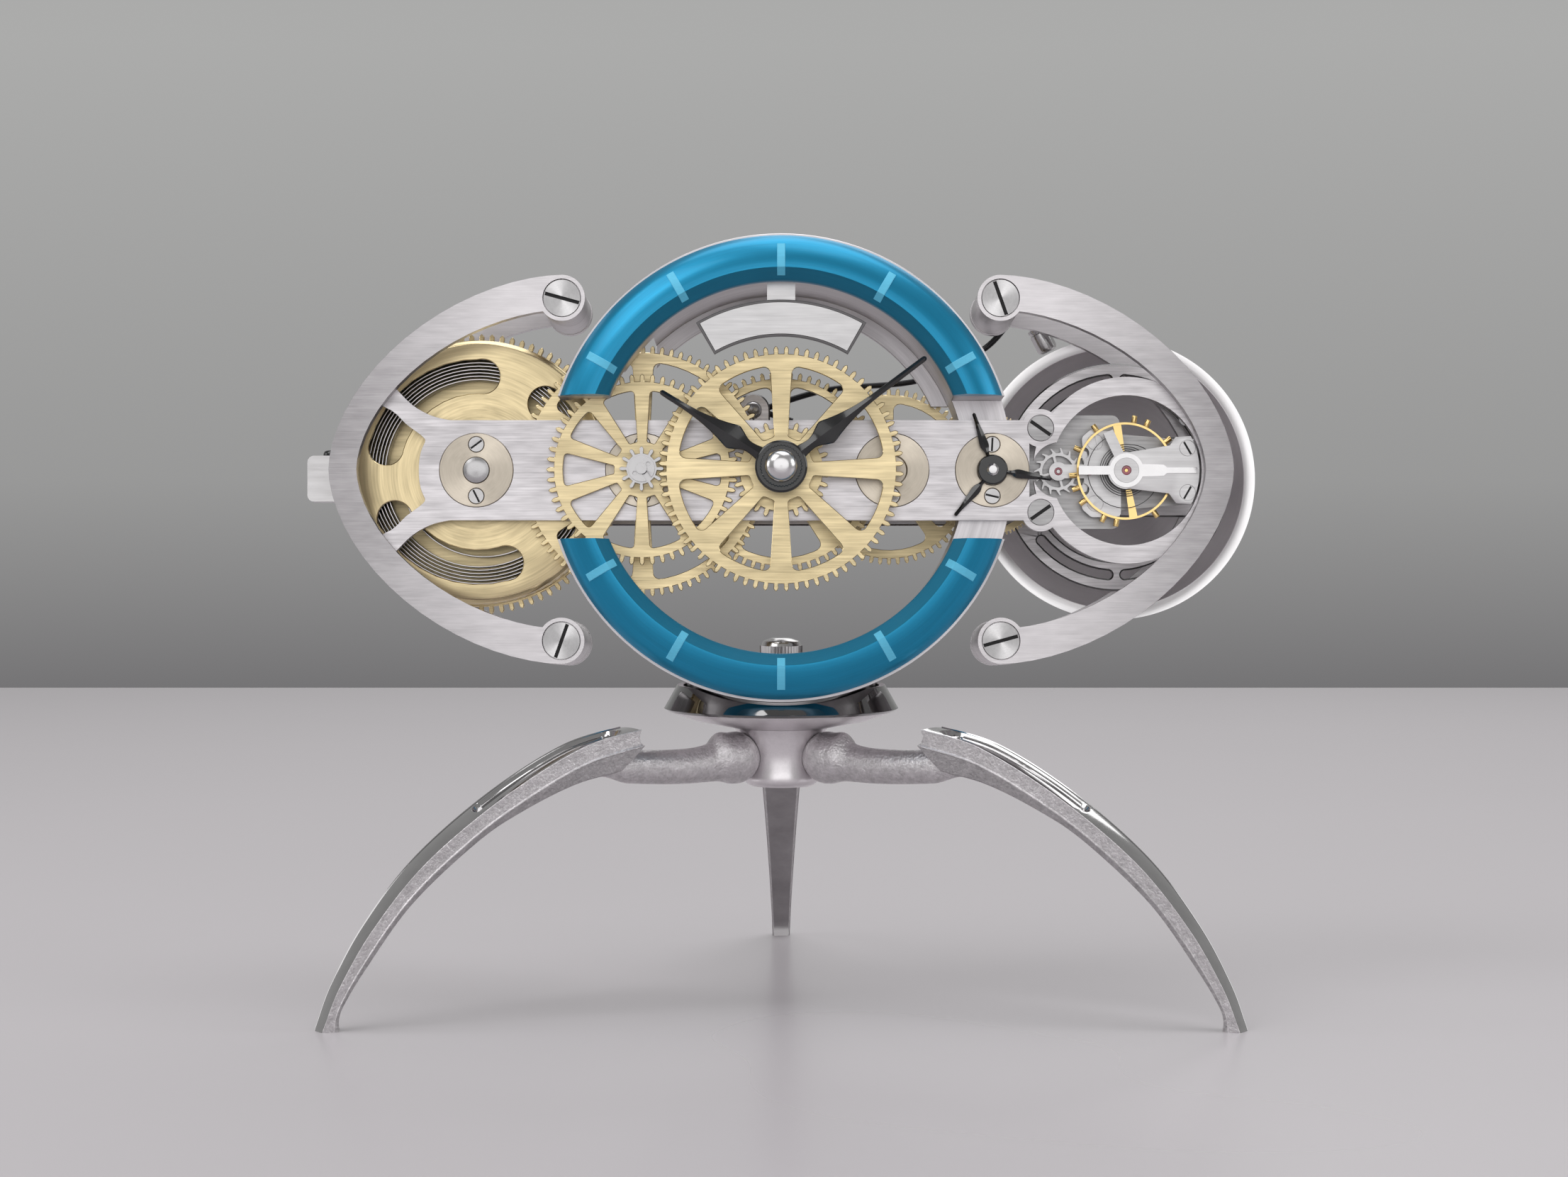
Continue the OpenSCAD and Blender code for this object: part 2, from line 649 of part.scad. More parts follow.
module clamp_bolt() {
    bolt_end_z = nut_seat_z + clamp_nut_h * nut_dome_share;
    color(bright_steel) translate([0, hub_y, 0]) {
        translate([0, 0, hub_z]) cylinder(h = bolt_end_z - hub_z, r = clamp_bolt_r);
        translate([0, 0, hub_z]) cylinder(h = bolt_head_h - seat_gap, r = bolt_head_r);
        difference() {
            union() {
                translate([0, 0, nut_seat_z + seat_gap]) linear_extrude(clamp_nut_h * nut_dome_share)
                    polygon(knurl_outline(clamp_nut_r, knurl_teeth, knurl_depth));
                translate([0, 0, nut_seat_z]) rotate_extrude() polygon([
                    [0, clamp_nut_h * nut_dome_share], [clamp_nut_r - knurl_depth, clamp_nut_h * nut_dome_share],
                    [clamp_nut_r * 0.85, clamp_nut_h * 0.85], [clamp_nut_r * nut_top_share, clamp_nut_h],
                    [0, clamp_nut_h]
                ]);
            }
            translate([0, 0, nut_seat_z - cut_over])
                cylinder(h = clamp_nut_h * nut_dome_share + cut_over + run_gap, r = clamp_bolt_r + run_gap);
        }
    }
}

// Body ring and dial
left_clear_x = -(intermediate_cd - wheel_gap - plate_t / 2);
fourth_bore_r = arbor_r + 2.5;
ring_join_front = plate_t + run_gap;
ring_join_rear = fourth_span[0] - wheel_gap;

module body_ring() {
    color(steel) difference() {
        union() {
            body_frame() {
                tube(ring_span, ring_r, ring_bore_r);
                intersection() {
                    tube([ring_rear - flange_t, ring_rear], ring_bore_r + cut_over, flange_r);
                    translate([-ring_r, 0, 0]) cube([2 * ring_r, ring_rear + cut_over, ring_r]);
                }
            }
            difference() {
                translate([0, hub_y, cup_floor_z + seat_gap])
                    cylinder(h = axis_z - ring_bore_r - cup_floor_z, r = ring_foot_r);
                body_frame() rod([-2 * ring_r, 2 * ring_r], ring_r - cut_over / 2);
            }
        }
        body_frame() {
            side_box(-1, [-2 * ring_front, 2 * ring_rear], side_gap);
            side_box(1, [-2 * ring_front, ring_join_front], side_gap);
            side_box(1, [ring_join_rear, 2 * ring_rear], side_gap);
            translate([-2 * ring_r, plate_t - cut_over / 2, -ring_r])
                cube([2 * ring_r + left_clear_x, 2 * ring_rear, 2 * ring_r]);
            rod([0, ring_rear], fourth_bore_r, fourth_x);
            rod(grown(intermediate_span, wheel_gap, wheel_gap), tip_r(intermediate_m, intermediate_teeth) + run_gap,
                intermediate_x);
            translate([lobe.x - spacer_r - wheel_gap, ring_join_front, -side_gap])
                cube([2 * ring_r, ring_join_rear - ring_join_front, 2 * side_gap]);
            rod([minute_span[0] - wheel_gap / 2, ring_rear], tip_r(motion_m, minute_teeth) + wheel_gap, intermediate_x);
        }
        translate([0, hub_y, hub_top_z]) cylinder(h = axis_z - ring_bore_r, r = clamp_bolt_r + run_gap);
        translate([0, hub_y, nut_seat_z]) cylinder(h = clamp_nut_h, r = clamp_nut_r + cut_over / 2);
    }
}

module side_box(side, span, half) {
    translate([side > 0 ? 0 : -2 * ring_r, span[0], -half]) cube([2 * ring_r, span[1] - span[0], 2 * half]);
}

module dial_ring() {
    rear = dial_span[1];
    color([0.1, 0.5, 0.68]) body_frame() difference() {
        turned([
            [dial_bore_r, rear], [dial_r, rear], [dial_r, rear - dial_edge_t],
            [dial_ridge_r, rear - dial_ridge_t], [dial_bore_r, rear - dial_edge_t]
        ]);
        side_box(1, grown(dial_span, cut_over, cut_over), side_gap);
        side_box(-1, grown(dial_span, cut_over, cut_over), side_gap);
    }
}

// Depth of the dial ring's surface at a radius
function dial_face(r) = let (rear = dial_span[1], rise = dial_ridge_t - dial_edge_t)
    r > dial_ridge_r ? rear - dial_ridge_t + rise * (r - dial_ridge_r) / (dial_r - dial_ridge_r)
    : rear - dial_ridge_t + rise * (dial_ridge_r - r) / (dial_ridge_r - dial_bore_r);

module hour_markers() {
    stations = [marker_in_r, dial_ridge_r, marker_out_r];
    color([0.4, 0.75, 0.9]) body_frame() intersection() {
        turned(concat(
            [for (r = stations) [r, dial_face(r)]],
            [for (r = flipped(stations)) [r, dial_face(r) - marker_t]]
        ));
        for (hour = [1, 2, 4, 5, 6, 7, 8, 10, 11, 12]) rotate([0, 30 * hour, 0])
            translate([-marker_w / 2, dial_span[0] - cut_over, 0]) cube([marker_w, dial_ridge_t + cut_over, ring_r]);
    }
}

module name_plate() {
    color(bright_steel) body_frame() slab(name_span) {
        polygon(concat(
            arc(name_out_r, 90 - name_half_angle, 90 + name_half_angle, 3 * arc_steps),
            arc(name_in_r, 90 + name_half_angle, 90 - name_half_angle, 3 * arc_steps)
        ));
        intersection() {
            translate([-name_tab_w / 2, name_in_r + 1]) square([name_tab_w, ring_bore_r]);
            circle(r = ring_bore_r - seat_gap);
        }
    }
}

// Frame arms, posts and their screws
frame_power_share = 1.75;
arm_step = 5;
counterbore_h = screw_head_h + 0.4;
screw_reach = 9;
tie_screw_r = 0.95;
tie_head_r = 1.8;
tie_head_h = 1.2;
left_tie = [-0.886 * frame_tip, 1.58 * bar_half];
front_right_tie = [balance_x, 0] + polar((front_eye_out_r + front_eye_r) / 2, 38);
rear_right_tie = [balance_x, 0] + polar(rear_eye_r + 1.5, 40);
function bow(a, b, t) = [
    a * sign(cos(t)) * pow(abs(cos(t)), 2 / frame_power_share),
    b * sign(sin(t)) * pow(abs(sin(t)), 2 / frame_power_share)
];

module frame_outline() {
    top = post_z + boss_r;
    reach = frame_tip - post_x;
    polygon(concat(
        [for (t = [90:arm_step:270]) [-post_x, 0] + bow(reach, top, t)],
        [for (t = [270:-arm_step:90]) [-post_x, 0] + bow(reach - frame_tip_w, top - frame_end_w, t)]
    ));
    for (side = [-1, 1]) translate([-post_x, side * post_z]) circle(r = boss_r);
}

// One arm: side -1 is left and 1 is right, and facing -1 has its screw heads at the front
module frame_arm(side, span, facing, tie) {
    face = facing < 0 ? span[0] : span[1];
    bore = facing < 0 ? [face - cut_over, face + counterbore_h] : [face - counterbore_h, face + cut_over];
    color(steel) body_frame() difference() {
        slab(span) scale([-side, 1, 1]) frame_outline();
        for (z = [-post_z, post_z]) {
            hole(span, screw_r + run_gap, side * post_x, z);
            rod(bore, screw_head_r + 0.25, side * post_x, z);
        }
        for (z = [-tie.y, tie.y]) rod(facing < 0 ? [span[0] + 1, span[1] + cut_over]
            : [span[0] - cut_over, span[1] - 1], tie_screw_r + run_gap, tie.x, z);
    }
}

module frame_front_left() { frame_arm(-1, front_frame_span, -1, left_tie); }
module frame_front_right() { frame_arm(1, front_frame_span, -1, front_right_tie); }
module frame_rear_left() { frame_arm(-1, rear_frame_span, 1, left_tie); }
module frame_rear_right() { frame_arm(1, rear_frame_span, 1, rear_right_tie); }

module frame_posts() {
    span = [front_frame_span[1], rear_frame_span[0]];
    color(steel) body_frame() for (x = [-post_x, post_x]) for (z = [-post_z, post_z]) difference() {
        rod(span, post_r, x, z);
        rod([span[0] - cut_over, span[0] + screw_reach], screw_r + run_gap, x, z);
        rod([span[1] - screw_reach, span[1] + cut_over], screw_r + run_gap, x, z);
    }
}

module frame_screws() {
    front = front_frame_span[0] + counterbore_h - seat_gap;
    rear = rear_frame_span[1] - counterbore_h + seat_gap;
    tie_front = front_frame_span[0] + 1.5;
    tie_rear = rear_frame_span[1] - 1.5;
    color(steel) body_frame() {
        for (x = [-post_x, post_x]) for (z = [-post_z, post_z]) {
            difference() {
                union() {
                    rod([front - screw_head_h, front], screw_head_r, x, z);
                    rod([front - cut_over, front_frame_span[1] + screw_reach - 1], screw_r, x, z);
                }
                slot(front - screw_head_h, x, z, x / 2 + z, screw_slot_w, screw_slot_h, screw_head_r);
            }
            difference() {
                union() {
                    rod([rear, rear + screw_head_h], screw_head_r, x, z);
                    rod([rear_frame_span[0] - screw_reach + 1, rear + cut_over], screw_r, x, z);
                }
                slot(rear + screw_head_h, x, z, x + z / 2, screw_slot_w, screw_slot_h, screw_head_r);
            }
        }
        for (tie = [left_tie, front_right_tie]) for (z = [-tie.y, tie.y]) {
            rod([tie_front, plate_t + tie_head_h], tie_screw_r, tie.x, z);
            rod([plate_t + seat_gap, plate_t + tie_head_h], tie_head_r, tie.x, z);
        }
        for (tie = [left_tie, rear_right_tie]) for (z = [-tie.y, tie.y]) {
            rod([rear_plate_span[0] - tie_head_h, tie_rear], tie_screw_r, tie.x, z);
            rod([rear_plate_span[0] - tie_head_h, rear_plate_span[0] - seat_gap], tie_head_r, tie.x, z);
        }
    }
}

// Plates
plate_left_x = -0.79 * frame_tip;
arm_outer_shares = [[0.7, 0.96], [0.741, 1.01], [0.779, 1.1], [0.818, 1.3], [0.852, 1.6], [0.877, 1.84]];
arm_inner_shares = [[0.919, 1.41], [0.864, 1.19], [0.832, 0.92], [0.799, 0.7], [0.787, 0.58]];
arm_root_share = [0.7, 0.58];
plate_end_shares = [[0.787, 0.62], [0.8, 0.35], [0.804, 0], [0.8, -0.35], [0.787, -0.62]];
arm_steps = 3;
lobe = [-21.6 + balance_x, 10.6];
lobe_r = 4.8;
platform_screw_head_r = 3.2;
spacer_r = 4;
right_spacer_r = 2.15;
right_spacer = [balance_x, 0] + polar((front_eye_out_r + front_eye_r) / 2, 12);
slot_r = 25.4;
slot_half_w = 1.1;
slot_end_share = 1.02;
hammer_pivot = [-7.3, 17.4];
hammer_lug_r = 4.4;

module plate_arms() {
    arm = concat(smooth(arm_outer_shares, arm_steps), smooth(arm_inner_shares, arm_steps), [arm_root_share]);
    polygon([for (p = arm) [-p.x * frame_tip, p.y * bar_half]]);
    polygon([for (p = flipped(arm)) [-p.x * frame_tip, -p.y * bar_half]]);
    polygon([for (p = smooth(plate_end_shares, arm_steps)) [-p.x * frame_tip, p.y * bar_half]]);
    translate([plate_left_x, -bar_half]) square([fourth_x + bush_r - plate_left_x, 2 * bar_half]);
}

module front_plate() {
    arbors = [barrel_x, intermediate_x, 0, third_x, fourth_x];
    color(bright_steel) body_frame() difference() {
        slab(front_plate_span) difference() {
            union() {
                plate_arms();
                translate([balance_x, 0]) circle(r = front_eye_out_r);
                for (side = [-1, 1]) translate([lobe.x, side * lobe.y]) circle(r = lobe_r);
            }
            translate([balance_x, 0]) circle(r = front_eye_r);
            translate([escape_x, 0]) circle(r = escape_eye_r);
        }
        for (x = arbors) hole(front_plate_span, bush_r + run_gap, x);
        mirrored_z() {
            hole(front_plate_span, screw_r + run_gap, lobe.x, lobe.y);
            rod([-cut_over, 1.4], platform_screw_head_r + 0.2, lobe.x, lobe.y);
            rod(grown(front_plate_span, -1, cut_over), tie_screw_r + run_gap, right_spacer.x, right_spacer.y);
            for (tie = [left_tie, front_right_tie])
                hole(front_plate_span, tie_screw_r + run_gap, tie.x, tie.y);
        }
    }
}

module arc_slot(r, from, to, half_w) {
    polygon(concat(arc(r + half_w, from, to, arc_steps), arc(r - half_w, to, from, arc_steps)));
    for (a = [from, to]) translate(polar(r, a)) circle(r = half_w * slot_end_share);
}

module rear_plate() {
    arbors = [barrel_x, intermediate_x, 0, third_x, fourth_x];
    color(bright_steel) body_frame() difference() {
        slab(rear_plate_span) difference() {
            union() {
                plate_arms();
                translate(hammer_pivot) circle(r = hammer_lug_r);
                translate([hammer_pivot.x - hammer_lug_r, 0]) square([2 * hammer_lug_r, hammer_pivot.y]);
                difference() {
                    translate([balance_x, 0]) circle(r = rear_eye_out_r);
                    translate([balance_x, 0]) circle(r = rear_eye_r);
                }
                translate([fourth_x, -cross_bar_half])
                    square([balance_x + rear_eye_out_r - frame_tip_w - fourth_x, 2 * cross_bar_half]);
            }
            translate([balance_x, 0]) mirrored_y() {
                arc_slot(slot_r, 95, 140, slot_half_w);
                arc_slot(slot_r, 50, 85, slot_half_w);
            }
        }
        for (x = arbors) hole(rear_plate_span, bush_r + run_gap, x);
        hole(rear_plate_span, escape_bush_r + run_gap, escape_x);
        hole(rear_plate_span, bell_stud_r + run_gap, balance_x);
        hole(rear_plate_span, stud_r + run_gap, hammer_pivot.x, hammer_pivot.y);
        hole(rear_plate_span, click_stud_r + run_gap, click_pivot.x, click_pivot.y);
        mirrored_z() for (tie = [left_tie, rear_right_tie])
            hole(rear_plate_span, tie_screw_r + run_gap, tie.x, tie.y);
    }
}

// Bushes: discs let into the plates, each held by two small screws
bush_lip = 0.3;
bush_screw_sink = 0.9;
bush_screw_shank_r = 0.85;
escape_bush_r = 2.4;
pivot_r = 0.9;
oil_sink_r = 3.75;
oil_sink_h = 0.8;
stud_r = 1.4;
bell_stud_r = 3;
click_stud_r = 1.5;

module bush(x, span, face, hole) {
    out = face < 0 ? span[0] : span[1];
    sink = face < 0 ? [out - cut_over, out + bush_screw_sink] : [out - bush_screw_sink, out + cut_over];
    difference() {
        rod(span, bush_r, x);
        hole(span, hole, x);
        for (z = [-bush_screw_z, bush_screw_z]) {
            rod(sink, bush_screw_r + 0.1, x, z);
            hole(span, bush_screw_shank_r + run_gap, x, z);
        }
    }
}

module front_bushes() {
    span = grown(front_plate_span, bush_lip, 0);
    color(nickel) body_frame() {
        bush(barrel_x, span, -1, barrel_pivot_r + run_gap);
        difference() {
            bush(intermediate_x, span, -1, pivot_r + run_gap);
            rod([span[0] - cut_over, 1.2], stud_r + run_gap, intermediate_x);
        }
        bush(0, span, -1, arbor_r + run_gap);
        difference() {
            bush(third_x, span, -1, pivot_r + run_gap);
            rod([span[0] - cut_over, span[0] + oil_sink_h], oil_sink_r, third_x);
        }
        difference() {
            bush(fourth_x, span, -1, pivot_r + run_gap);
            rod([span[0] - cut_over, span[0] + oil_sink_h], oil_sink_r, fourth_x);
        }
    }
}

module rear_bushes() {
    span = grown(rear_plate_span, 0, bush_lip);
    color(nickel) body_frame() {
        bush(barrel_x, span, 1, barrel_pivot_r + run_gap);
        bush(0, span, 1, arbor_r + run_gap);
        for (x = [intermediate_x, third_x, fourth_x]) bush(x, span, 1, pivot_r + run_gap);
        tube(span, escape_bush_r, escape_pivot_r + run_gap, escape_x);
    }
}

module small_screw(x, z, out, face, turn) {
    head = face < 0 ? [out, out + bush_screw_sink - seat_gap] : [out - bush_screw_sink + seat_gap, out];
    shank = face < 0 ? [out, out + plate_t] : [out - plate_t, out];
    difference() {
        union() {
            rod(head, bush_screw_r, x, z);
            rod(shank, bush_screw_shank_r, x, z);
        }
        slot(out, x, z, turn, thin_slot_w, thin_slot_h, bush_screw_r);
    }
}

module bush_screws() {
    front = -bush_lip;
    rear = rear_plate_span[1] + bush_lip;
    color(steel) body_frame() {
        for (x = [barrel_x, intermediate_x, 0, third_x, fourth_x]) for (side = [-1, 1]) {
            small_screw(x, side * bush_screw_z, front, -1, x + 40 * side);
            small_screw(x, side * bush_screw_z, rear, 1, x - 25 * side);
        }
    }
}

// Barrel
slot_in_r = 19.9;
slot_out_r = 28.5;
slot_half_angle = 50;
slot_places = [126.5, 248, 6.5];
chamfer = 1;
mainspring_h = 7.5;
mainspring_inner_r = barrel_core_r + 0.5 + mainspring_t;
mainspring_core_turns = 3;
mainspring_cross_turns = 2;
mainspring_wound_turns = 8;
mainspring_outer_r = cover_r - 2 * barrel_wall;
barrel_bore_r = barrel_core_r + run_gap;

module barrel_drum() {
    wall_r = root_r(barrel_m, barrel_teeth) - 0.6;
    color(brass) body_frame() difference() {
        union() {
            slab(rim_span) translate([barrel_x, 0]) wheel_teeth(barrel_m, barrel_teeth, left_phase());
            rod([cover_span[1], rim_span[1]], wall_r, barrel_x);
        }
        rod([cover_span[0], rim_span[0]], wall_r - barrel_wall, barrel_x);
        hole(rim_span, barrel_bore_r, barrel_x);
    }
}

module barrel_cover() {
    color(brass) body_frame() difference() {
        turned([
            [barrel_bore_r, cover_span[0]], [cover_r - chamfer, cover_span[0]], [cover_r, cover_span[0] + chamfer],
            [cover_r, cover_span[1] - seat_gap], [barrel_bore_r, cover_span[1] - seat_gap]
        ], barrel_x);
        slab(grown(cover_span, cut_over, cut_over)) translate([barrel_x, 0]) for (a = slot_places)
            arc_slot((slot_in_r + slot_out_r) / 2, a - slot_half_angle + 11, a + slot_half_angle - 11,
                (slot_out_r - slot_in_r) / 2);
    }
}

// A flat spring: one unbroken strip along a spiral, six-sided in section
function ring_points(centre, out, half_t, half_w) = [
    centre + [out.x, 0, out.y] * half_t + [0, half_w * 0.8, 0], centre + [0, half_w, 0],
    centre - [out.x, 0, out.y] * half_t + [0, half_w * 0.8, 0],
    centre - [out.x, 0, out.y] * half_t - [0, half_w * 0.8, 0], centre - [0, half_w, 0],
    centre + [out.x, 0, out.y] * half_t - [0, half_w * 0.8, 0]
];

module strip(radii, angles, t, w) {
    count = len(radii);
    points = [for (i = [0:count - 1]) each ring_points(
        [radii[i] * cos(angles[i]), 0, radii[i] * sin(angles[i])], [cos(angles[i]), sin(angles[i])], t / 2, w / 2)];
    sides = 6;
    walls = [for (i = [0:count - 2]) for (k = [0:sides - 1]) let (
        a = i * sides + k, b = i * sides + (k + 1) % sides, c = a + sides, d = b + sides)
        each [[a, b, d], [a, d, c]]];
    first = [for (k = [1:sides - 2]) [0, k + 1, k]];
    last = [for (k = [1:sides - 2]) [0, k, k + 1] + [1, 1, 1] * (count - 1) * sides];
    polyhedron(points = points, faces = angles[1] > angles[0] ? concat(walls, first, last)
        : [for (f = concat(walls, first, last)) flipped(f)]);
}

rings_a_loop = 24;
function least_gap(radii, t) = min([for (i = [0:len(radii) - 1 - rings_a_loop])
    radii[i + rings_a_loop] - radii[i] - t]);
function main_radius(turn) =
    turn < mainspring_core_turns ? mainspring_inner_r + mainspring_pitch * turn
    : turn < mainspring_core_turns + mainspring_cross_turns
        ? main_core_end_r + (main_wound_r - main_core_end_r) * (turn - mainspring_core_turns) / mainspring_cross_turns
    : main_wound_r + mainspring_pitch * (turn - mainspring_core_turns - mainspring_cross_turns);
main_core_end_r = mainspring_inner_r + mainspring_pitch * mainspring_core_turns;
main_wound_r = mainspring_outer_r - mainspring_pitch * mainspring_wound_turns;
main_turns = mainspring_core_turns + mainspring_cross_turns + mainspring_wound_turns;
main_radii = [for (i = [0:main_turns * rings_a_loop]) main_radius(i / rings_a_loop)];
echo(mainspring_least_gap = least_gap(main_radii, mainspring_t));

module mainspring() {
    middle = (cover_span[1] + rim_span[0]) / 2;
    color([0.25, 0.25, 0.28]) body_frame() translate([barrel_x, middle, 0])
        strip(main_radii, [for (i = [0:len(main_radii) - 1]) 360 * i / rings_a_loop], mainspring_t, mainspring_h);
}

arbor_front = 0.9;

module barrel_arbor() {
    color(bright_steel) body_frame() turned([
        [0, -arbor_front - 0.5], [barrel_pivot_r * 0.7, -arbor_front - 0.3], [barrel_pivot_r, -arbor_front],
        [barrel_pivot_r, plate_t + 1], [barrel_core_r, plate_t + 1],
        [barrel_core_r, rim_span[1] + 1], [barrel_pivot_r, rim_span[1] + 1],
        [barrel_pivot_r, crank_span[1]], [0, crank_span[1]]
    ], barrel_x);
}

// Ratchet and click on the rear face of the rear plate
ratchet_span = behind(rear_plate_span, 0.8, ratchet_t);
ratchet_depth = 1.4;
click_pivot = [barrel_x + 19.2, 8];
click_tip = [barrel_x, 0] + polar(ratchet_r + 0.25, 62);
click_r = 2.6;
beak_w = 0.2;

module ratchet_wheel() {
    step = 360 / ratchet_teeth;
    color(steel) body_frame() difference() {
        slab(ratchet_span) translate([barrel_x, 0]) polygon([
            for (i = [0:ratchet_teeth - 1]) each [
                polar(ratchet_r, step * i), polar(ratchet_r - ratchet_depth, step * (i + 0.12)),
                polar(ratchet_r - ratchet_depth / 2, step * (i + 0.55))
            ]
        ]);
        hole(ratchet_span, barrel_pivot_r + seat_gap, barrel_x);
    }
}

module click() {
    along = unit(click_tip - click_pivot);
    across = [-along.y, along.x];
    color(steel) body_frame() difference() {
        union() {
            rod(ratchet_span, click_r, click_pivot.x, click_pivot.y);
            slab(ratchet_span) polygon([
                click_pivot - across * click_r, click_pivot + across * click_r * 0.8, click_tip,
                click_tip + (along - 3 * across) * beak_w, click_tip - across * click_r * 0.9 - along * click_r
            ]);
        }
        hole(ratchet_span, click_stud_r + run_gap, click_pivot.x, click_pivot.y);
    }
}

// Winding crank on the barrel arbor's rear end
crank_hub_r = 6;
block_chamfer = 1.6;

module winding_crank() {
    tip_x = -half_length;
    block_span = grown(crank_span, 1.5, 1.5);
    half = crank_block / 2;
    color(bright_steel) body_frame() difference() {
        union() {
            rod(crank_span, crank_hub_r, barrel_x);
            slab(crank_span) translate([tip_x + half, -crank_arm_h / 2]) square([barrel_x - tip_x - half, crank_arm_h]);
            slab(block_span) translate([tip_x + half, 0]) polygon(rounded(
                [[-half, -half], [half, -half], [half, half], [-half, half]], block_chamfer));
        }
        hole(crank_span, barrel_pivot_r + seat_gap, barrel_x);
        rod(grown(block_span, -2, cut_over), click_stud_r + run_gap, tip_x + half, 0);
    }
}

module crank_knobs() {
    block_span = grown(crank_span, 1.5, 1.5);
    x = -half_length + crank_block / 2;
    handle = block_span[1] + 0.3;
    color(black) body_frame() {
        translate([x, (block_span[0] + block_span[1]) / 2, crank_block / 2]) rotate_extrude() polygon(smooth([
            [crank_knob_r, 0], [crank_knob_r, crank_knob_h * 0.45], [crank_knob_r * 0.75, crank_knob_h * 0.85],
            [0, crank_knob_h]
        ]));
        turned(concat([[0, block_span[0] + 3], [click_stud_r, block_span[0] + 3], [click_stud_r, handle]], smooth([
            [crank_handle_r * 0.6, handle], [crank_handle_r * 0.75, handle + crank_handle_l * 0.25],
            [crank_handle_r, handle + crank_handle_l * 0.7], [crank_handle_r * 0.8, handle + crank_handle_l * 0.92],
            [0, handle + crank_handle_l]
        ])), x);
    }
}

// Going train
spoke_fillet = 1.6;
small_fillet = 0.9;
hub_seat_r = 3.4;
leaf_over = 0.6;

module spoked_wheel(m, teeth, span, x, phase, spokes, hub, rim_w, w_hub, w_rim, r, turn, bore) {
    slab(span) translate([x, 0]) difference() {
        wheel_teeth(m, teeth, phase);
        windows(spokes, hub, root_r(m, teeth) - rim_w, w_hub, w_rim, r, turn);
        circle(r = bore);
    }
}

module pinion(m, leaves, span, x, phase) {
    slab(span) translate([x, 0]) leaf_teeth(m, leaves, phase);
}

module intermediate_wheel() {
    color(brass) body_frame() spoked_wheel(intermediate_m, intermediate_teeth, intermediate_span, intermediate_x,
        left_phase(), 6, 8, 2.4, 3.4, 5.4, spoke_fillet, 90, arbor_r + seat_gap);
}

module intermediate_arbor() {
    color(bright_steel) body_frame() {
        rod([plate_t + 0.6, rear_plate_span[0] - 0.6], arbor_r, intermediate_x);
        rod([1.4, rear_plate_span[1] - 0.4], pivot_r, intermediate_x);
        rod([intermediate_span[1] + seat_gap, intermediate_span[1] + 3], hub_seat_r, intermediate_x);
        pinion(barrel_m, intermediate_leaves, grown(rim_span, leaf_over, leaf_over), intermediate_x,
            right_phase(intermediate_leaves));
    }
}

module centre_wheel() {
    color(brass) body_frame() spoked_wheel(centre_m, centre_teeth, centre_wheel_span, 0,
        left_phase(), 5, 7, 2, 3.2, 5, spoke_fillet, 90, arbor_r + seat_gap);
}

cam_span = [hammer_depth - 1, hammer_depth + 1];
cannon_r = 2.3;
hour_pipe_r = 3.3;
front_arbor_r = 1.2;

module centre_arbor() {
    color(bright_steel) body_frame() {
        rod([minute_span[0], cam_span[1] + 1], arbor_r);
        rod([hand_nut_span[0] - 1.4, minute_span[0]], front_arbor_r);
        pinion(intermediate_m, centre_leaves, [plate_t + 0.4, intermediate_span[1] + leaf_over], 0,
            right_phase(centre_leaves));
        rod([centre_wheel_span[0] - 1.6, centre_wheel_span[0] - seat_gap], hub_seat_r);
        difference() {
            slab(cam_span) polygon([for (a = [0:10:350]) polar(cam_r * (0.6 + 0.4 * a / 360), -a + 80)]);
            hole(cam_span, arbor_r + seat_gap);
        }
    }
}

module third_wheel() {
    color(brass) body_frame() spoked_wheel(third_m, third_teeth, third_span, third_x,
        left_phase(), 5, 6, 2.2, 2.6, 3.8, spoke_fillet, 20, arbor_r + seat_gap);
}

module third_arbor() {
    color(bright_steel) body_frame() {
        rod([plate_t + 0.6, rear_plate_span[0] - 0.4], arbor_r, third_x);
        rod([0.6, rear_plate_span[1] - 0.4], pivot_r, third_x);
        rod([third_span[0] - 1.6, third_span[0] - seat_gap], hub_seat_r, third_x);
        pinion(centre_m, third_leaves, grown(centre_wheel_span, leaf_over, leaf_over), third_x,
            right_phase(third_leaves));
    }
}

module fourth_wheel() {
    color(brass) body_frame() spoked_wheel(fourth_m, fourth_teeth, fourth_span, fourth_x,
        left_phase(), 5, 4.6, 1.6, 1.8, 2.6, small_fillet, 54, arbor_r + seat_gap);
}

seconds_seat = 3.6;

module fourth_arbor() {
    color(bright_steel) body_frame() {
        rod([plate_t + 0.6, rear_plate_span[0] - 0.4], arbor_r, fourth_x);
        rod([-seconds_seat, rear_plate_span[1] - 0.4], pivot_r, fourth_x);
        rod([fourth_span[0] - 1.6, fourth_span[0] - seat_gap], hub_seat_r * 0.8, fourth_x);
        pinion(third_m, fourth_leaves, grown(third_span, leaf_over, 0.3), fourth_x, right_phase(fourth_leaves));
    }
}

// Escape wheel with its arbor and pinion
escape_pivot_r = 0.45;
escape_arbor_r = 0.8;
escape_rim_share = 0.78;

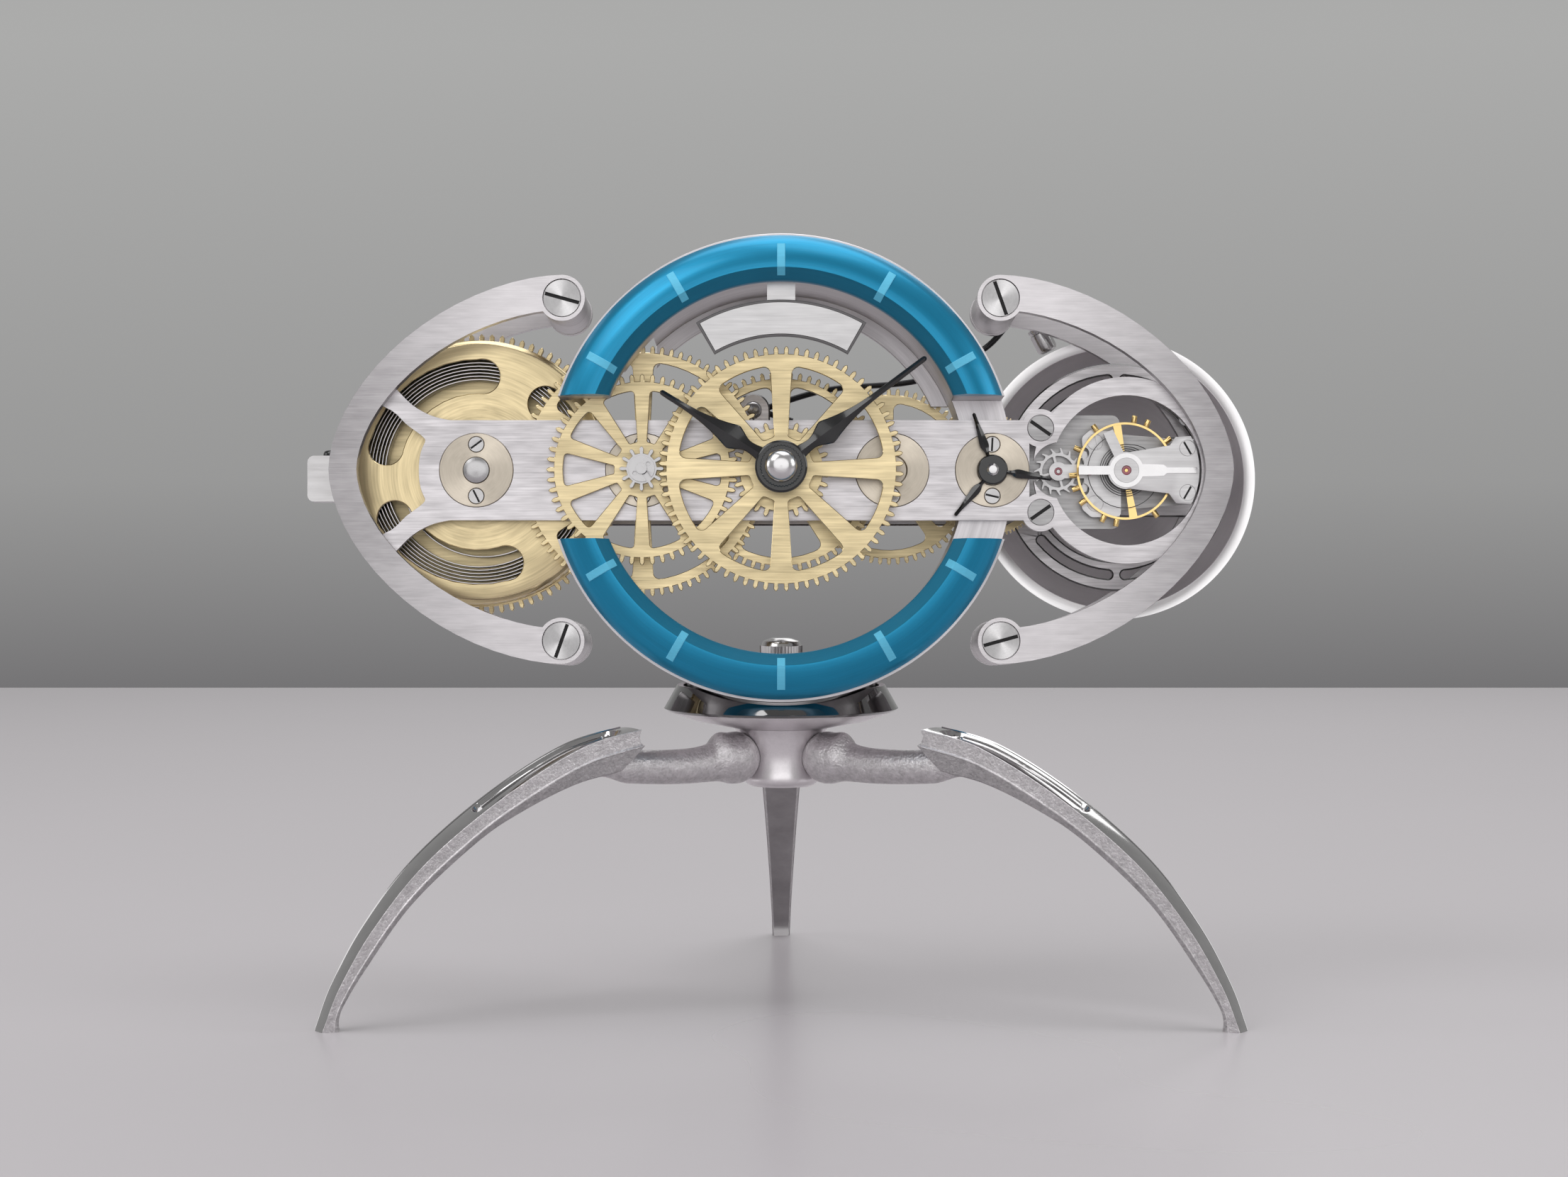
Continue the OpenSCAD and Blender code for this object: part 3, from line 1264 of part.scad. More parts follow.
module escape_wheel() {
    step = 360 / escape_teeth;
    rim = escape_r * escape_rim_share;
    color(bright_steel) body_frame() {
        slab(escape_span) translate([escape_x, 0]) difference() {
            polygon([for (i = [0:escape_teeth - 1]) each [
                polar(rim, step * i), polar(escape_r, step * (i + 0.42)), polar(escape_r, step * (i + 0.55)),
                polar(rim * 1.06, step * (i + 0.42)), polar(rim, step * (i + 0.6))
            ]]);
            windows(4, escape_r * 0.3, rim * 0.86, 0.6, 0.6, 0.25, 15);
        }
        rod([escape_span[0] - 0.2, rear_plate_span[0] - 0.3], escape_arbor_r, escape_x);
        rod([bridge_span[0] + 0.1, rear_plate_span[1] - 0.4], escape_pivot_r, escape_x);
        pinion(fourth_m, escape_leaves, grown(fourth_span, leaf_over, leaf_over), escape_x,
            right_phase(escape_leaves));
    }
}

// Motion work
module cannon_gear() {
    color(brass) body_frame() difference() {
        union() {
            slab(minute_span) wheel_teeth(motion_m, cannon_teeth, right_phase(cannon_teeth));
            rod([minute_hand_span[0], minute_span[1]], cannon_r);
        }
        rod([minute_span[0] - seat_gap, minute_span[1] + cut_over], arbor_r + seat_gap);
        rod([minute_hand_span[0] - cut_over, minute_span[0]], front_arbor_r + seat_gap);
    }
}

module minute_wheel() {
    color(brass) body_frame() spoked_wheel(motion_m, minute_teeth, minute_span, intermediate_x,
        left_phase(), 10, 7.1, 2.3, 2.4, 4, small_fillet, 90, stud_r + run_gap);
}

minute_pinion_span = [hour_span[0] - 0.4, minute_span[0] - seat_gap];

module minute_pinion() {
    color(bright_steel) body_frame() difference() {
        pinion(motion_m, minute_leaves, minute_pinion_span, intermediate_x, left_phase());
        hole(minute_pinion_span, stud_r + run_gap, intermediate_x);
    }
}

clip_r = 3.3;
clip_t = 0.6;

module studs() {
    clip_span = before(minute_pinion_span, 0.15, clip_t);
    click_end = ratchet_span[1] + 0.9;
    color(bright_steel) body_frame() {
        difference() {
            rod([clip_span[0] - 0.7, 1.1], stud_r, intermediate_x);
            tube(clip_span, stud_r + cut_over, stud_r - 0.4, intermediate_x);
        }
        slab(clip_span) translate([intermediate_x, 0]) difference() {
            circle(r = clip_r);
            circle(r = stud_r - 0.38);
            rotate(-55) translate([0, -stud_r * 0.5]) square([2 * clip_r, stud_r]);
            for (a = [35, -145]) rotate(a) translate([clip_r * 0.62, 0]) circle(r = clip_r * 0.16);
        }
        rod([ratchet_span[1] + 0.15, click_end], click_r, click_pivot.x, click_pivot.y);
        rod([rear_plate_span[0], click_end], click_stud_r, click_pivot.x, click_pivot.y);
    }
    color(black) body_frame() {
        turned(smooth([[0, rear_plate_span[0] - 2.6], [1.6, rear_plate_span[0] - 2.2],
            [2.2, rear_plate_span[0] - 1], [2.2, rear_plate_span[0] - seat_gap]], 4), hammer_pivot.x, hammer_pivot.y);
        rod([rear_plate_span[0] - 1, hammer_depth + 3], stud_r, hammer_pivot.x, hammer_pivot.y);
    }
}

module hour_wheel() {
    color(brass) body_frame() difference() {
        union() {
            spoked_wheel(motion_m, hour_teeth, hour_span, 0, right_phase(hour_teeth), 8, 8.2, 3, 3.4, 5.6,
                spoke_fillet, 90, cannon_r + run_gap);
            rod([hour_hand_span[0], hour_span[1]], hour_pipe_r);
        }
        rod([hour_hand_span[0] - cut_over, hour_span[1] + cut_over], cannon_r + run_gap);
    }
}

// Hands
neck_r = 8.6;
bulb_r = 14;
spike_r = 20.5;
neck_w_share = 0.42;
function hand_outline(length) = let (half = hand_w / 2, tip = hand_tip_w / 2) concat(
    smooth([
        [hand_ring_r * 0.75, half * 0.8], [neck_r, half * neck_w_share], [(neck_r + bulb_r) / 2, half * 0.62],
        [bulb_r * 0.93, half * 0.98], [bulb_r * 1.08, half * 0.9], [(bulb_r + spike_r) / 2, half * 0.55],
        [spike_r, tip * 1.3]
    ], 3), [[length, tip]]);

module hand(span, length, turn, bore) {
    slab(span) difference() {
        union() {
            circle(r = hand_ring_r);
            rotate(turn) polygon(mirrored_outline(hand_outline(length)));
        }
        circle(r = bore);
    }
}

module hour_hand() {
    color(black) body_frame() hand(hour_hand_span, hour_hand_l, 90 + hour_hand_angle, hour_pipe_r + seat_gap);
}

module minute_hand() {
    color(black) body_frame() hand(minute_hand_span, minute_hand_l, 90 - minute_hand_angle, cannon_r + seat_gap);
}

module hand_nut() {
    color(black) body_frame() difference() {
        slab(hand_nut_span) polygon(knurl_outline(hand_nut_r, knurl_teeth, knurl_depth));
        hole(hand_nut_span, front_arbor_r + seat_gap);
    }
}

module hand_cap() {
    front = hand_nut_span[0] - seat_gap;
    color(bright_steel) body_frame() difference() {
        turned(concat([[0, front], [hand_cap_r, front]], smooth([
            [hand_cap_r, front - 0.3 * hand_cap_h], [hand_cap_r * 0.88, front - 0.68 * hand_cap_h],
            [hand_cap_r * 0.5, front - 0.94 * hand_cap_h], [0, front - hand_cap_h]
        ])));
        rod([hand_nut_span[0] - 1.6, hand_nut_span[0]], front_arbor_r + run_gap);
    }
}

seconds_ring_r = 3.75;
seconds_span = [-seconds_seat + 0.4, -seconds_seat + 1.4];
seconds_angles = [108.7, -9.2, 230.5];

module seconds_hand() {
    half = seconds_ring_r * 0.3;
    arm = concat(smooth([
        [seconds_ring_r * 0.6, half * 0.5], [seconds_ring_r * 1.2, half * 0.45], [seconds_ring_r * 1.7, half],
        [seconds_ring_r * 2.4, half * 0.8], [seconds_hand_l * 0.85, half * 0.42]
    ], 3), [[seconds_hand_l, half * 0.4]]);
    color(black) body_frame() slab(seconds_span) translate([fourth_x, 0]) difference() {
        union() {
            circle(r = seconds_ring_r);
            for (a = seconds_angles) rotate(a) polygon(mirrored_outline(arm));
        }
        circle(r = pivot_r + seat_gap);
    }
}

// Escapement
platform_left_half = 13.4;
platform_right_half = 9.6;
bridge_screws = [[-7.5, 7.4], [-7.5, -8.1]];
bridge_screw_r = 1.95;
bridge_shank_r = 0.9;
jewel_hole_r = 0.5;
cock_foot = [15.4, 5.6];
cock_edge_r = front_eye_r - 0.5;

module platform() {
    left = lobe.x - spacer_r;
    right = right_spacer.x + right_spacer_r;
    color(bright_steel) body_frame() {
        difference() {
            slab(platform_span) polygon(rounded([
                [left, -platform_left_half - 1], [balance_x - 1, -platform_left_half - 1],
                [balance_x - 1, -platform_right_half],
                [right, -platform_right_half + 2], [right, platform_right_half - 2],
                [balance_x - 1, platform_right_half], [balance_x - 1, platform_left_half + 1],
                [left, platform_left_half + 1]
            ], [3, 2, 1, 2, 2, 1, 2, 3]));
            hole(platform_span, escape_arbor_r + run_gap, escape_x);
            for (x = [pallet_x, balance_x]) rod([platform_span[0] - cut_over, platform_span[1] - 0.4],
                jewel_hole_r, x);
            mirrored_z() {
                hole(platform_span, screw_r + run_gap, lobe.x, lobe.y);
                hole(platform_span, tie_screw_r + run_gap, right_spacer.x, right_spacer.y);
                hole(platform_span, bridge_shank_r + run_gap,
                    balance_x + cock_foot.x, cock_foot.y);
            }
            for (p = bridge_screws) hole(platform_span, bridge_shank_r + run_gap,
                balance_x + p.x, p.y);
        }
        mirrored_z() {
            tube([plate_t + seat_gap, platform_span[0] - seat_gap], spacer_r, screw_r + run_gap, lobe.x, lobe.y);
            tube([plate_t + seat_gap, platform_span[0] - seat_gap], right_spacer_r, tie_screw_r + run_gap,
                right_spacer.x, right_spacer.y);
        }
    }
    color(steel) body_frame() mirrored_z() {
        difference() {
            union() {
                rod([0, 1.4 - seat_gap], platform_screw_head_r, lobe.x, lobe.y);
                rod([1, platform_span[1]], screw_r, lobe.x, lobe.y);
            }
            slot(0, lobe.x, lobe.y, 35, screw_slot_w, screw_slot_h * 0.7, platform_screw_head_r);
        }
        rod([plate_t - 1.4, platform_span[1] + 1], tie_screw_r, right_spacer.x, right_spacer.y);
        rod([platform_span[1] + seat_gap, platform_span[1] + 1], tie_head_r, right_spacer.x, right_spacer.y);
    }
}

// The bridge carries the front pivots of the escape wheel and the fork, on two pillars with screws
module escapement_bridge() {
    pillar = [bridge_span[1], platform_span[0] - seat_gap];
    color(bright_steel) body_frame() {
        difference() {
            union() {
                slab(bridge_span) difference() {
                    union() {
                        translate([escape_x, 0]) circle(r = 2.35);
                        translate([escape_x, -1.75]) square([pallet_cd, 3.5]);
                        translate([balance_x, 0]) polygon(rounded([
                            [-10.3, -3], [-10.9, -9.5], [-8.5, -11.6], [-1, -11.4], [-1, 9.8], [-8.6, 10.6],
                            [-10.9, 8.6], [-10.3, 3]
                        ], [1, 1.5, 1.5, 1, 1, 1.5, 1.5, 1]));
                    }
                    translate([balance_x, 0]) circle(r = 3.4);
                    for (side = [-1, 1]) translate([escape_x + 6.2, side * 4.6]) circle(r = 1.6);
                }
                for (p = bridge_screws) rod([bridge_span[0], pillar[1]], bridge_screw_r + 0.4, balance_x + p.x, p.y);
            }
            for (x = [escape_x, pallet_x]) hole(bridge_span, jewel_r + seat_gap, x);
            for (p = bridge_screws) {
                rod([bridge_span[0] - cut_over, platform_span[0] + 1], bridge_shank_r + run_gap, balance_x + p.x, p.y);
                rod([bridge_span[0] - cut_over, bridge_span[0] + 0.5], bridge_screw_r + 0.1, balance_x + p.x, p.y);
            }
        }
        for (p = bridge_screws) difference() {
            union() {
                rod([bridge_span[0], bridge_span[0] + 0.48], bridge_screw_r, balance_x + p.x, p.y);
                rod([bridge_span[0] + 0.2, platform_span[1] - 0.2], bridge_shank_r, balance_x + p.x, p.y);
            }
            slot(bridge_span[0], balance_x + p.x, p.y, 20 + 8 * p.y, thin_slot_w, thin_slot_h * 0.8, bridge_screw_r);
        }
    }
}

jewel_r = 1;
shock_jewel_r = 1.2;
cock_boss_r = 3.1;
stud_arm_w = 2.6;
cock_head_share = 0.382;
cock_foot_share = 0.618;
cock_shares = [
    [0.065, 0.374], [0.894, 0.512], [1.008, 0.683], [1.626, 0.724], [1.626, -0.707], [1.016, -0.675],
    [0.87, -0.472], [0.065, -0.374]
];

module balance_cock() {
    foot_span = [cock_span[0], platform_span[0] - seat_gap];
    color(bright_steel) body_frame() {
        difference() {
            union() {
                slab(cock_span) translate([balance_x, 0]) intersection() {
                    union() {
                        circle(r = balance_r * cock_head_share);
                        polygon([for (p = cock_shares) p * balance_r]);
                        rotate(stud_angle) translate([0, -stud_arm_w / 2])
                            square([hairspring_outer_r + 1.2, stud_arm_w]);
                    }
                    circle(r = cock_edge_r);
                }
                slab(foot_span) translate([balance_x, 0]) intersection() {
                    translate([balance_r + timing_screw_l + 0.4, -balance_r * cock_foot_share])
                        square([balance_r, 2 * balance_r * cock_foot_share]);
                    circle(r = cock_edge_r);
                }
                rod([regulator_span[0] - 0.1, cock_span[1]], cock_boss_r, balance_x);
            }
            rod([regulator_span[0] - cut_over, cock_span[1] + cut_over], shock_jewel_r + seat_gap, balance_x);
            mirrored_z() {
                rod([cock_span[0] - cut_over, foot_span[1] + cut_over], bridge_shank_r + run_gap,
                    balance_x + cock_foot.x, cock_foot.y);
                rod([cock_span[0] - cut_over, cock_span[0] + 0.5], bridge_screw_r + 0.1,
                    balance_x + cock_foot.x, cock_foot.y);
            }
        }
        mirrored_z() difference() {
            union() {
                rod([cock_span[0], cock_span[0] + 0.48], bridge_screw_r, balance_x + cock_foot.x, cock_foot.y);
                rod([cock_span[0] + 0.2, platform_span[1] - 0.2], bridge_shank_r,
                    balance_x + cock_foot.x, cock_foot.y);
            }
            slot(cock_span[0], balance_x + cock_foot.x, cock_foot.y, 60, thin_slot_w, thin_slot_h * 0.8,
                bridge_screw_r);
        }
        rod([cock_span[1] + seat_gap, hairspring_span[1]], 0.6, balance_x + stud_place.x, stud_place.y);
    }
}

stud_angle = 115;
stud_place = polar(hairspring_outer_r + 0.75, stud_angle);
curb_half_gap = 0.75;
curb_pin_r = 0.35;
regulator_hub_share = 0.35;
regulator_shares = [[0.244, 0.13], [0.61, 0.122], [0.764, 0.114], [0.829, 0.057], [1.447, 0.057]];

module regulator() {
    pins_span = [regulator_span[0], hairspring_span[1] + 0.1];
    color(bright_steel) body_frame() {
        slab(regulator_span) translate([balance_x, 0]) difference() {
            union() {
                circle(r = balance_r * regulator_hub_share);
                polygon(mirrored_outline([for (p = regulator_shares) p * balance_r]));
                translate([-balance_r + 0.3, -1.1]) square([balance_r - 3.6, 2.2]);
            }
            circle(r = cock_boss_r + run_gap);
        }
    }
    color(golden) body_frame() for (side = [-1, 1])
        rod(pins_span, curb_pin_r, balance_x - hairspring_outer_r + side * curb_half_gap, 0);
}

hairspring_turns = 8.5;
hairspring_rise_turns = 0.65;
hairspring_end_turns = 0.25;
hairspring_inner_r = 2;
collet_r = 1.5;
function hair_radius(turn) = let (body_end_r = hairspring_inner_r + hairspring_pitch * hairspring_turns)
    turn < hairspring_turns ? hairspring_inner_r + hairspring_pitch * turn
    : let (s = min((turn - hairspring_turns) / hairspring_rise_turns, 1))
        body_end_r + (hairspring_outer_r - body_end_r) * s * (2 - s);
hair_turns = hairspring_turns + hairspring_rise_turns + hairspring_end_turns;
hair_count = floor(hair_turns * rings_a_loop);
hair_radii = [for (i = [0:hair_count]) hair_radius(hair_turns * i / hair_count)];
echo(hairspring_least_gap = least_gap(hair_radii, hairspring_t));

module hairspring() {
    middle = (hairspring_span[0] + hairspring_span[1]) / 2;
    color(steel) body_frame() translate([balance_x, middle, 0]) strip(hair_radii,
        [for (i = [0:hair_count]) stud_angle + 360 * hair_turns * (1 - i / hair_count)], hairspring_t, hairspring_w);
}

staff_r = 0.4;
roller_r = 2.2;
impulse_r = 1.7;
impulse_pin_r = 0.2;
arm_inset = 0.4;
timing_angles = [125, 80, 65, 36, 155, 184.6, 199.5];

module balance_wheel() {
    rim_in = balance_r - balance_rim_w;
    roller_span = [bridge_span[0] + 0.3, escape_span[0] - 0.2];
    color(golden) body_frame() {
        tube(rim_layer_span, balance_r, rim_in, balance_x);
        slab(grown(rim_layer_span, -arm_inset, -arm_inset)) translate([balance_x, 0]) rotate(100) difference() {
            union() {
                circle(r = 2);
                for (a = [0, 180]) rotate(a)
                    polygon([
                        [0, 0.5], [rim_in + balance_rim_w / 2, 1.05], [rim_in + balance_rim_w / 2, -1.05], [0, -0.5]
                    ]);
            }
            circle(r = staff_r + seat_gap);
        }
        difference() {
            rod(roller_span, roller_r, balance_x);
            hole(roller_span, staff_r + seat_gap, balance_x);
            hole(roller_span, impulse_pin_r + seat_gap, balance_x - impulse_r);
        }
    }
    color(bright_steel) body_frame() {
        rod([regulator_span[0] + 0.5, platform_span[1] - 0.5], staff_r, balance_x);
        tube([cock_span[1] + 0.2, rim_layer_span[0] + arm_inset - seat_gap], collet_r, staff_r + seat_gap, balance_x);
    }
    color(ruby) body_frame() rod([roller_span[0], escape_span[1] - 0.1], impulse_pin_r, balance_x - impulse_r);
}

module balance_screws() {
    middle = (rim_layer_span[0] + rim_layer_span[1]) / 2;
    color(golden) body_frame() translate([balance_x, middle, 0]) for (pair = [0, 180]) for (a = timing_angles)
        rotate([0, -a - pair, 0]) {
            translate([balance_r + 0.05, 0, 0]) rotate([0, 90, 0])
                cylinder(h = timing_screw_l - 0.05, r = timing_screw_r - 0.11);
        }
}

fork_end = 6.75;
stone_r = 6.45;
stone_angle = 33;
stone_l = 1.7;
stone_w = 0.7;

module pallet_fork() {
    arm_end = polar(stone_r + stone_l * 0.8, stone_angle + 4) - [pallet_cd, 0];
    color(bright_steel) body_frame() {
        difference() {
            slab(escape_span) translate([pallet_x, 0]) difference() {
                union() {
                    circle(r = 1.3);
                    mirrored_y() {
                        polygon([[0.4, 1], arm_end + [1, 0.3], arm_end + [0.1, 0.6],
                            arm_end + [-0.4, -0.1], [-1, 0.5], [0, -0.5]]);
                        polygon([[0, 0], [0, 0.6], [fork_end - 1.6, 0.35], [fork_end - 0.9, 0.95],
                            [fork_end, 0.95], [fork_end, 0.45], [fork_end - 0.9, 0.4], [fork_end - 1.1, 0]]);
                    }
                }
                circle(r = escape_pivot_r + seat_gap);
            }
            in_plane(0) for (side = [-1, 1]) stone_block(side, seat_gap);
        }
        rod([bridge_span[0] + 0.1, platform_span[1] - 0.5], escape_pivot_r, pallet_x);
    }
    color(ruby) body_frame() in_plane(0) for (side = [-1, 1]) stone_block(side, 0);
}

module stone_block(side, grow) {
    middle = (escape_span[0] + escape_span[1]) / 2;
    translate([escape_x, 0, -middle]) rotate([0, 0, side * stone_angle])
        translate([stone_r + stone_l / 2, side * grow, 0])
        cube([stone_l + 2 * grow, stone_w + 2 * grow, escape_t - 0.1 + 2 * grow], center = true);
}

module jewels() {
    color(ruby) body_frame() {
        for (x = [escape_x, pallet_x]) tube(grown(bridge_span, 0, 0), jewel_r, escape_pivot_r + run_gap, x);
        tube([regulator_span[0] + 0.2, cock_span[1]], shock_jewel_r, staff_r + run_gap, balance_x);
    }
}

// Strike
bell_outer_shares = [[1, 0], [0.995, 0.12], [0.95, 0.4], [0.8, 0.68], [0.52, 0.88], [0.2, 0.99], [0, 1]];
bell_post_r = 4;
hammer_angle = 116.7;
hammer_gap = 0.6;
hammer_hub_r = 3.2;
hammer_path_shares = [[0.136, 0.269], [0.414, 0.298], [0.603, 0.387], [0.689, 0.472], [0.742, 0.512]];
finger_x = 3;

module bell() {
    inner = bell_r - bell_wall;
    back = bell_front + bell_h;
    seat = back - bell_wall;
    color(bright_steel) body_frame() {
        difference() {
            turned(concat(
                smooth([for (p = bell_outer_shares) [p.x * bell_r, bell_front + p.y * bell_h]]),
                smooth([for (p = flipped(bell_outer_shares)) [p.x * inner, bell_front + p.y * (bell_h - bell_wall)]])
            ), balance_x);
            rod([bell_front, back + cut_over], bell_stud_r + run_gap, balance_x);
        }
        rod([rear_plate_span[0] - 1, back + 1], bell_stud_r, balance_x);
        tube([rear_plate_span[1] + seat_gap, seat - 0.3], bell_post_r + 1, bell_stud_r + run_gap, balance_x);
        difference() {
            turned(smooth([[0, back + 4], [2.6, back + 3.6], [4.6, back + 2], [4.8, back + 0.1]], 4), balance_x);
            rod([back - 1, back + 1.1], bell_stud_r + run_gap, balance_x);
        }
    }
}

module hammer_arm() {
    path = smooth(concat([hammer_pivot], [for (p = hammer_path_shares) p * balance_x], [hammer_end]), 3);
    wire_span = [hammer_depth - hammer_wire_r, hammer_depth + hammer_wire_r];
    finger_tip = [finger_x, cam_r + 1.2];
    color(black) body_frame() difference() {
        union() {
            rod([hammer_depth - 2, hammer_depth + 2], hammer_hub_r, hammer_pivot.x, hammer_pivot.y);
            slab(wire_span) {
                polygon(band(path, hammer_wire_r));
                polygon(band([hammer_pivot + [1, 1] * hammer_wire_r, finger_tip], hammer_wire_r));
            }
        }
        rod([hammer_depth - 3, hammer_depth + 4], stud_r + run_gap, hammer_pivot.x, hammer_pivot.y);
    }
}

hammer_end = [balance_x, 0] + polar(bell_r + hammer_gap + hammer_head_l + hammer_wire_r + seat_gap, hammer_angle);

module hammer_head() {
    color(bright_steel) body_frame() in_plane(hammer_depth) translate([balance_x, 0, 0]) rotate([0, 0, hammer_angle])
        translate([bell_r + hammer_gap, 0, 0]) rotate([0, 90, 0]) cylinder(h = hammer_head_l, r = hammer_head_r);
}

stand_hub();
stand_cup();
leg_front_left();
leg_front_right();
leg_rear();
clamp_bolt();
body_ring();
dial_ring();
hour_markers();
name_plate();
frame_front_left();
frame_front_right();
frame_rear_left();
frame_rear_right();
frame_posts();
frame_screws();
front_plate();
rear_plate();
front_bushes();
rear_bushes();
bush_screws();
barrel_drum();
barrel_cover();
mainspring();
barrel_arbor();
ratchet_wheel();
click();
winding_crank();
crank_knobs();
intermediate_wheel();
intermediate_arbor();
centre_wheel();
centre_arbor();
third_wheel();
third_arbor();
fourth_wheel();
fourth_arbor();
escape_wheel();
cannon_gear();
minute_wheel();
minute_pinion();
studs();
hour_wheel();
hour_hand();
minute_hand();
hand_nut();
hand_cap();
seconds_hand();
platform();
escapement_bridge();
balance_cock();
regulator();
hairspring();
balance_wheel();
balance_screws();
pallet_fork();
jewels();
bell();
hammer_arm();
hammer_head();
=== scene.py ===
"""Finishes, fine shapes, camera and stage of a skeleton mantel clock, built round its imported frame."""

import json
import math

import bmesh
import bpy
import numpy as np
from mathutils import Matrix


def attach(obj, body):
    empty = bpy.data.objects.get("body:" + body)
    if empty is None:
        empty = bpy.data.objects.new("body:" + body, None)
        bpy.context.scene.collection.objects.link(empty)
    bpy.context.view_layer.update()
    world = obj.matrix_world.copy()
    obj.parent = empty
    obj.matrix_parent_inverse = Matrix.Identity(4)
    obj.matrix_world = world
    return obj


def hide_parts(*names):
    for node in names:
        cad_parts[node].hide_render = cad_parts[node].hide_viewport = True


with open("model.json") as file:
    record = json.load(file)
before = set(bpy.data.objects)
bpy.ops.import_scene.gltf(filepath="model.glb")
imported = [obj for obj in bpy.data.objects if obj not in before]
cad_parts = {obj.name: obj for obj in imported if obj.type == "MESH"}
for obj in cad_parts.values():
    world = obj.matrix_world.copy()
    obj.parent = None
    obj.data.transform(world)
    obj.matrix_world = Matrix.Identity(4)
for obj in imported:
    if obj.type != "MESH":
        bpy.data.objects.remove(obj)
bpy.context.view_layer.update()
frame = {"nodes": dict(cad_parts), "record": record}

bl_info = {
    "name": "Skeleton Mantel Clock",
    "version": (1, 0, 0),
    "blender": (4, 5, 0),
    "location": "View3D > Sidebar > Clock",
    "description": "Finishes, detailed pieces and stage of a skeleton mantel clock on a cast tripod",
    "category": "Object",
}

MM = 0.001

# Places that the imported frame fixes, in metres and radians. The body leans back about its hand arbor.
TILT = math.radians(4)
HUB_Y = -32 * MM
BODY_Y = HUB_Y - 11 * MM
AXIS_Z = 134.3 * MM
ARBORS = [MM * x for x in (-76.7, -34.9, 0, 27.9, 53.1)]
BARREL_X, FOURTH_X = ARBORS[0], ARBORS[-1]
BALANCE_X = 86.9 * MM
POST = (55 * MM, 43 * MM)

# How close points merge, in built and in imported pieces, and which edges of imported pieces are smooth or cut.
SAME_POINT, SAME_PACKED_POINT = 2e-7, 2e-6
SMOOTH_BELOW, CHAMFERED_ABOVE = math.radians(28), math.radians(40)


def length(name, description, default_mm):
    """A size in metres for a property group, given in millimetres."""
    return bpy.props.FloatProperty(
        name=name, description=description, default=default_mm * MM, min=0.0, precision=5, unit="LENGTH"
    )


def colour(name, description, default):
    """A colour for a property group."""
    return bpy.props.FloatVectorProperty(
        name=name, description=description, default=default, min=0.0, max=1.0, size=3, subtype="COLOR"
    )


class ClockSizes(bpy.types.PropertyGroup):
    """Sizes of the detailed pieces"""

    chamfer: length("Plate chamfer", "Width of the polished chamfer round plates and frame arms", 0.45)
    wheel_chamfer: length("Wheel chamfer", "Width of the polished chamfer on wheel teeth and spokes", 0.13)
    small_chamfer: length("Small chamfer", "Width of the rounding on screws and other small pieces", 0.12)
    leg_recess: length("Leg recess", "Depth of the long recess in a leg's top face", 1.1)
    leg_width: length("Leg width", "Width of a leg's blade at the knee", 12)
    leg_foot_width: length("Leg foot width", "Width of a leg's blade at the foot", 4.8)
    # The sunk line's dark colour is a painted dark reflection.
    plate_border: length("Name plate border", "Width of the dark sunk line round the name plate", 0.7)
    plate_relief: length("Name plate relief", "Depth of that line below the bare field", 0.2)
    dial_crown: length("Dial crown", "How far the dial ring's outer slope is crowned", 0.9)
    marker_width: length("Marker width", "Width of an hour marker", 2)
    hand_edge: length("Hand edge", "Thickness of a hand at its edges, below the raised ridge", 0.35)
    hammer_wire: length("Hammer wire", "Radius of the hammer's wire arm", 0.8)


class ClockColours(bpy.types.PropertyGroup):
    """Colours of the finishes"""

    steel: colour("Steel", "Brushed plates and arms", (0.60, 0.575, 0.59))
    polished_steel: colour("Polished steel", "Arbors, cup and screws", (0.54, 0.53, 0.535))
    cast_metal: colour("Cast metal", "Legs", (0.67, 0.645, 0.66))
    brass: colour("Brass", "Wheels and barrel", (0.72, 0.595, 0.36))
    gold: colour("Gold", "Balance rim and its screws", (0.80, 0.58, 0.25))
    nickel: colour("Nickel silver", "Bush discs", (0.56, 0.50, 0.42))
    blue: colour("Blue metal", "Dial ring", (0.012, 0.25, 0.44))
    pale_blue: colour("Pale blue", "Hour markers", (0.14, 0.56, 0.80))
    black: colour("Black metal", "Hands, nut and hammer arm", (0.010, 0.010, 0.011))
    ruby: colour("Ruby", "Jewels", (0.32, 0.010, 0.045))
    floor: colour("Floor", "Table under the clock", (0.50, 0.472, 0.495))
    backdrop_low: colour("Backdrop low", "Backdrop just above the table", (0.165, 0.162, 0.166))
    backdrop_high: colour("Backdrop high", "Backdrop at the top of the view", (0.41, 0.41, 0.405))


# Curves and surfaces


def smooth_curve(points, steps):
    """A curve through the points. Between two points it is the cubic whose slope at each point is half the
    way from the point before it to the point after it."""
    p = np.asarray(points, float)
    a, b, c, d = np.vstack([p[:1], p[:-2]]), p[:-1], p[1:], np.vstack([p[2:], p[-1:]])
    t = (np.arange(steps) / steps)[None, :, None]
    a, b, c, d = (v[:, None, :] for v in (a, b, c, d))
    rows = 0.5 * (2 * b + (c - a) * t + (2 * a - 5 * b + 4 * c - d) * t**2 + (3 * b - a - 3 * c + d) * t**3)
    return np.vstack([rows.reshape(-1, p.shape[1]), p[-1:]])


def spaced(points, shares):
    """Points at given shares of a line's own length."""
    p = np.asarray(points, float)
    run = np.concatenate([[0], np.cumsum(np.linalg.norm(np.diff(p, axis=0), axis=1))])
    return np.stack([np.interp(np.asarray(shares) * run[-1], run, p[:, k]) for k in range(p.shape[1])], -1)


def smoothstep(x):
    """0 below 0, 1 above 1, and 3x^2 - 2x^3 between."""
    x = np.clip(x, 0, 1)
    return x * x * (3 - 2 * x)


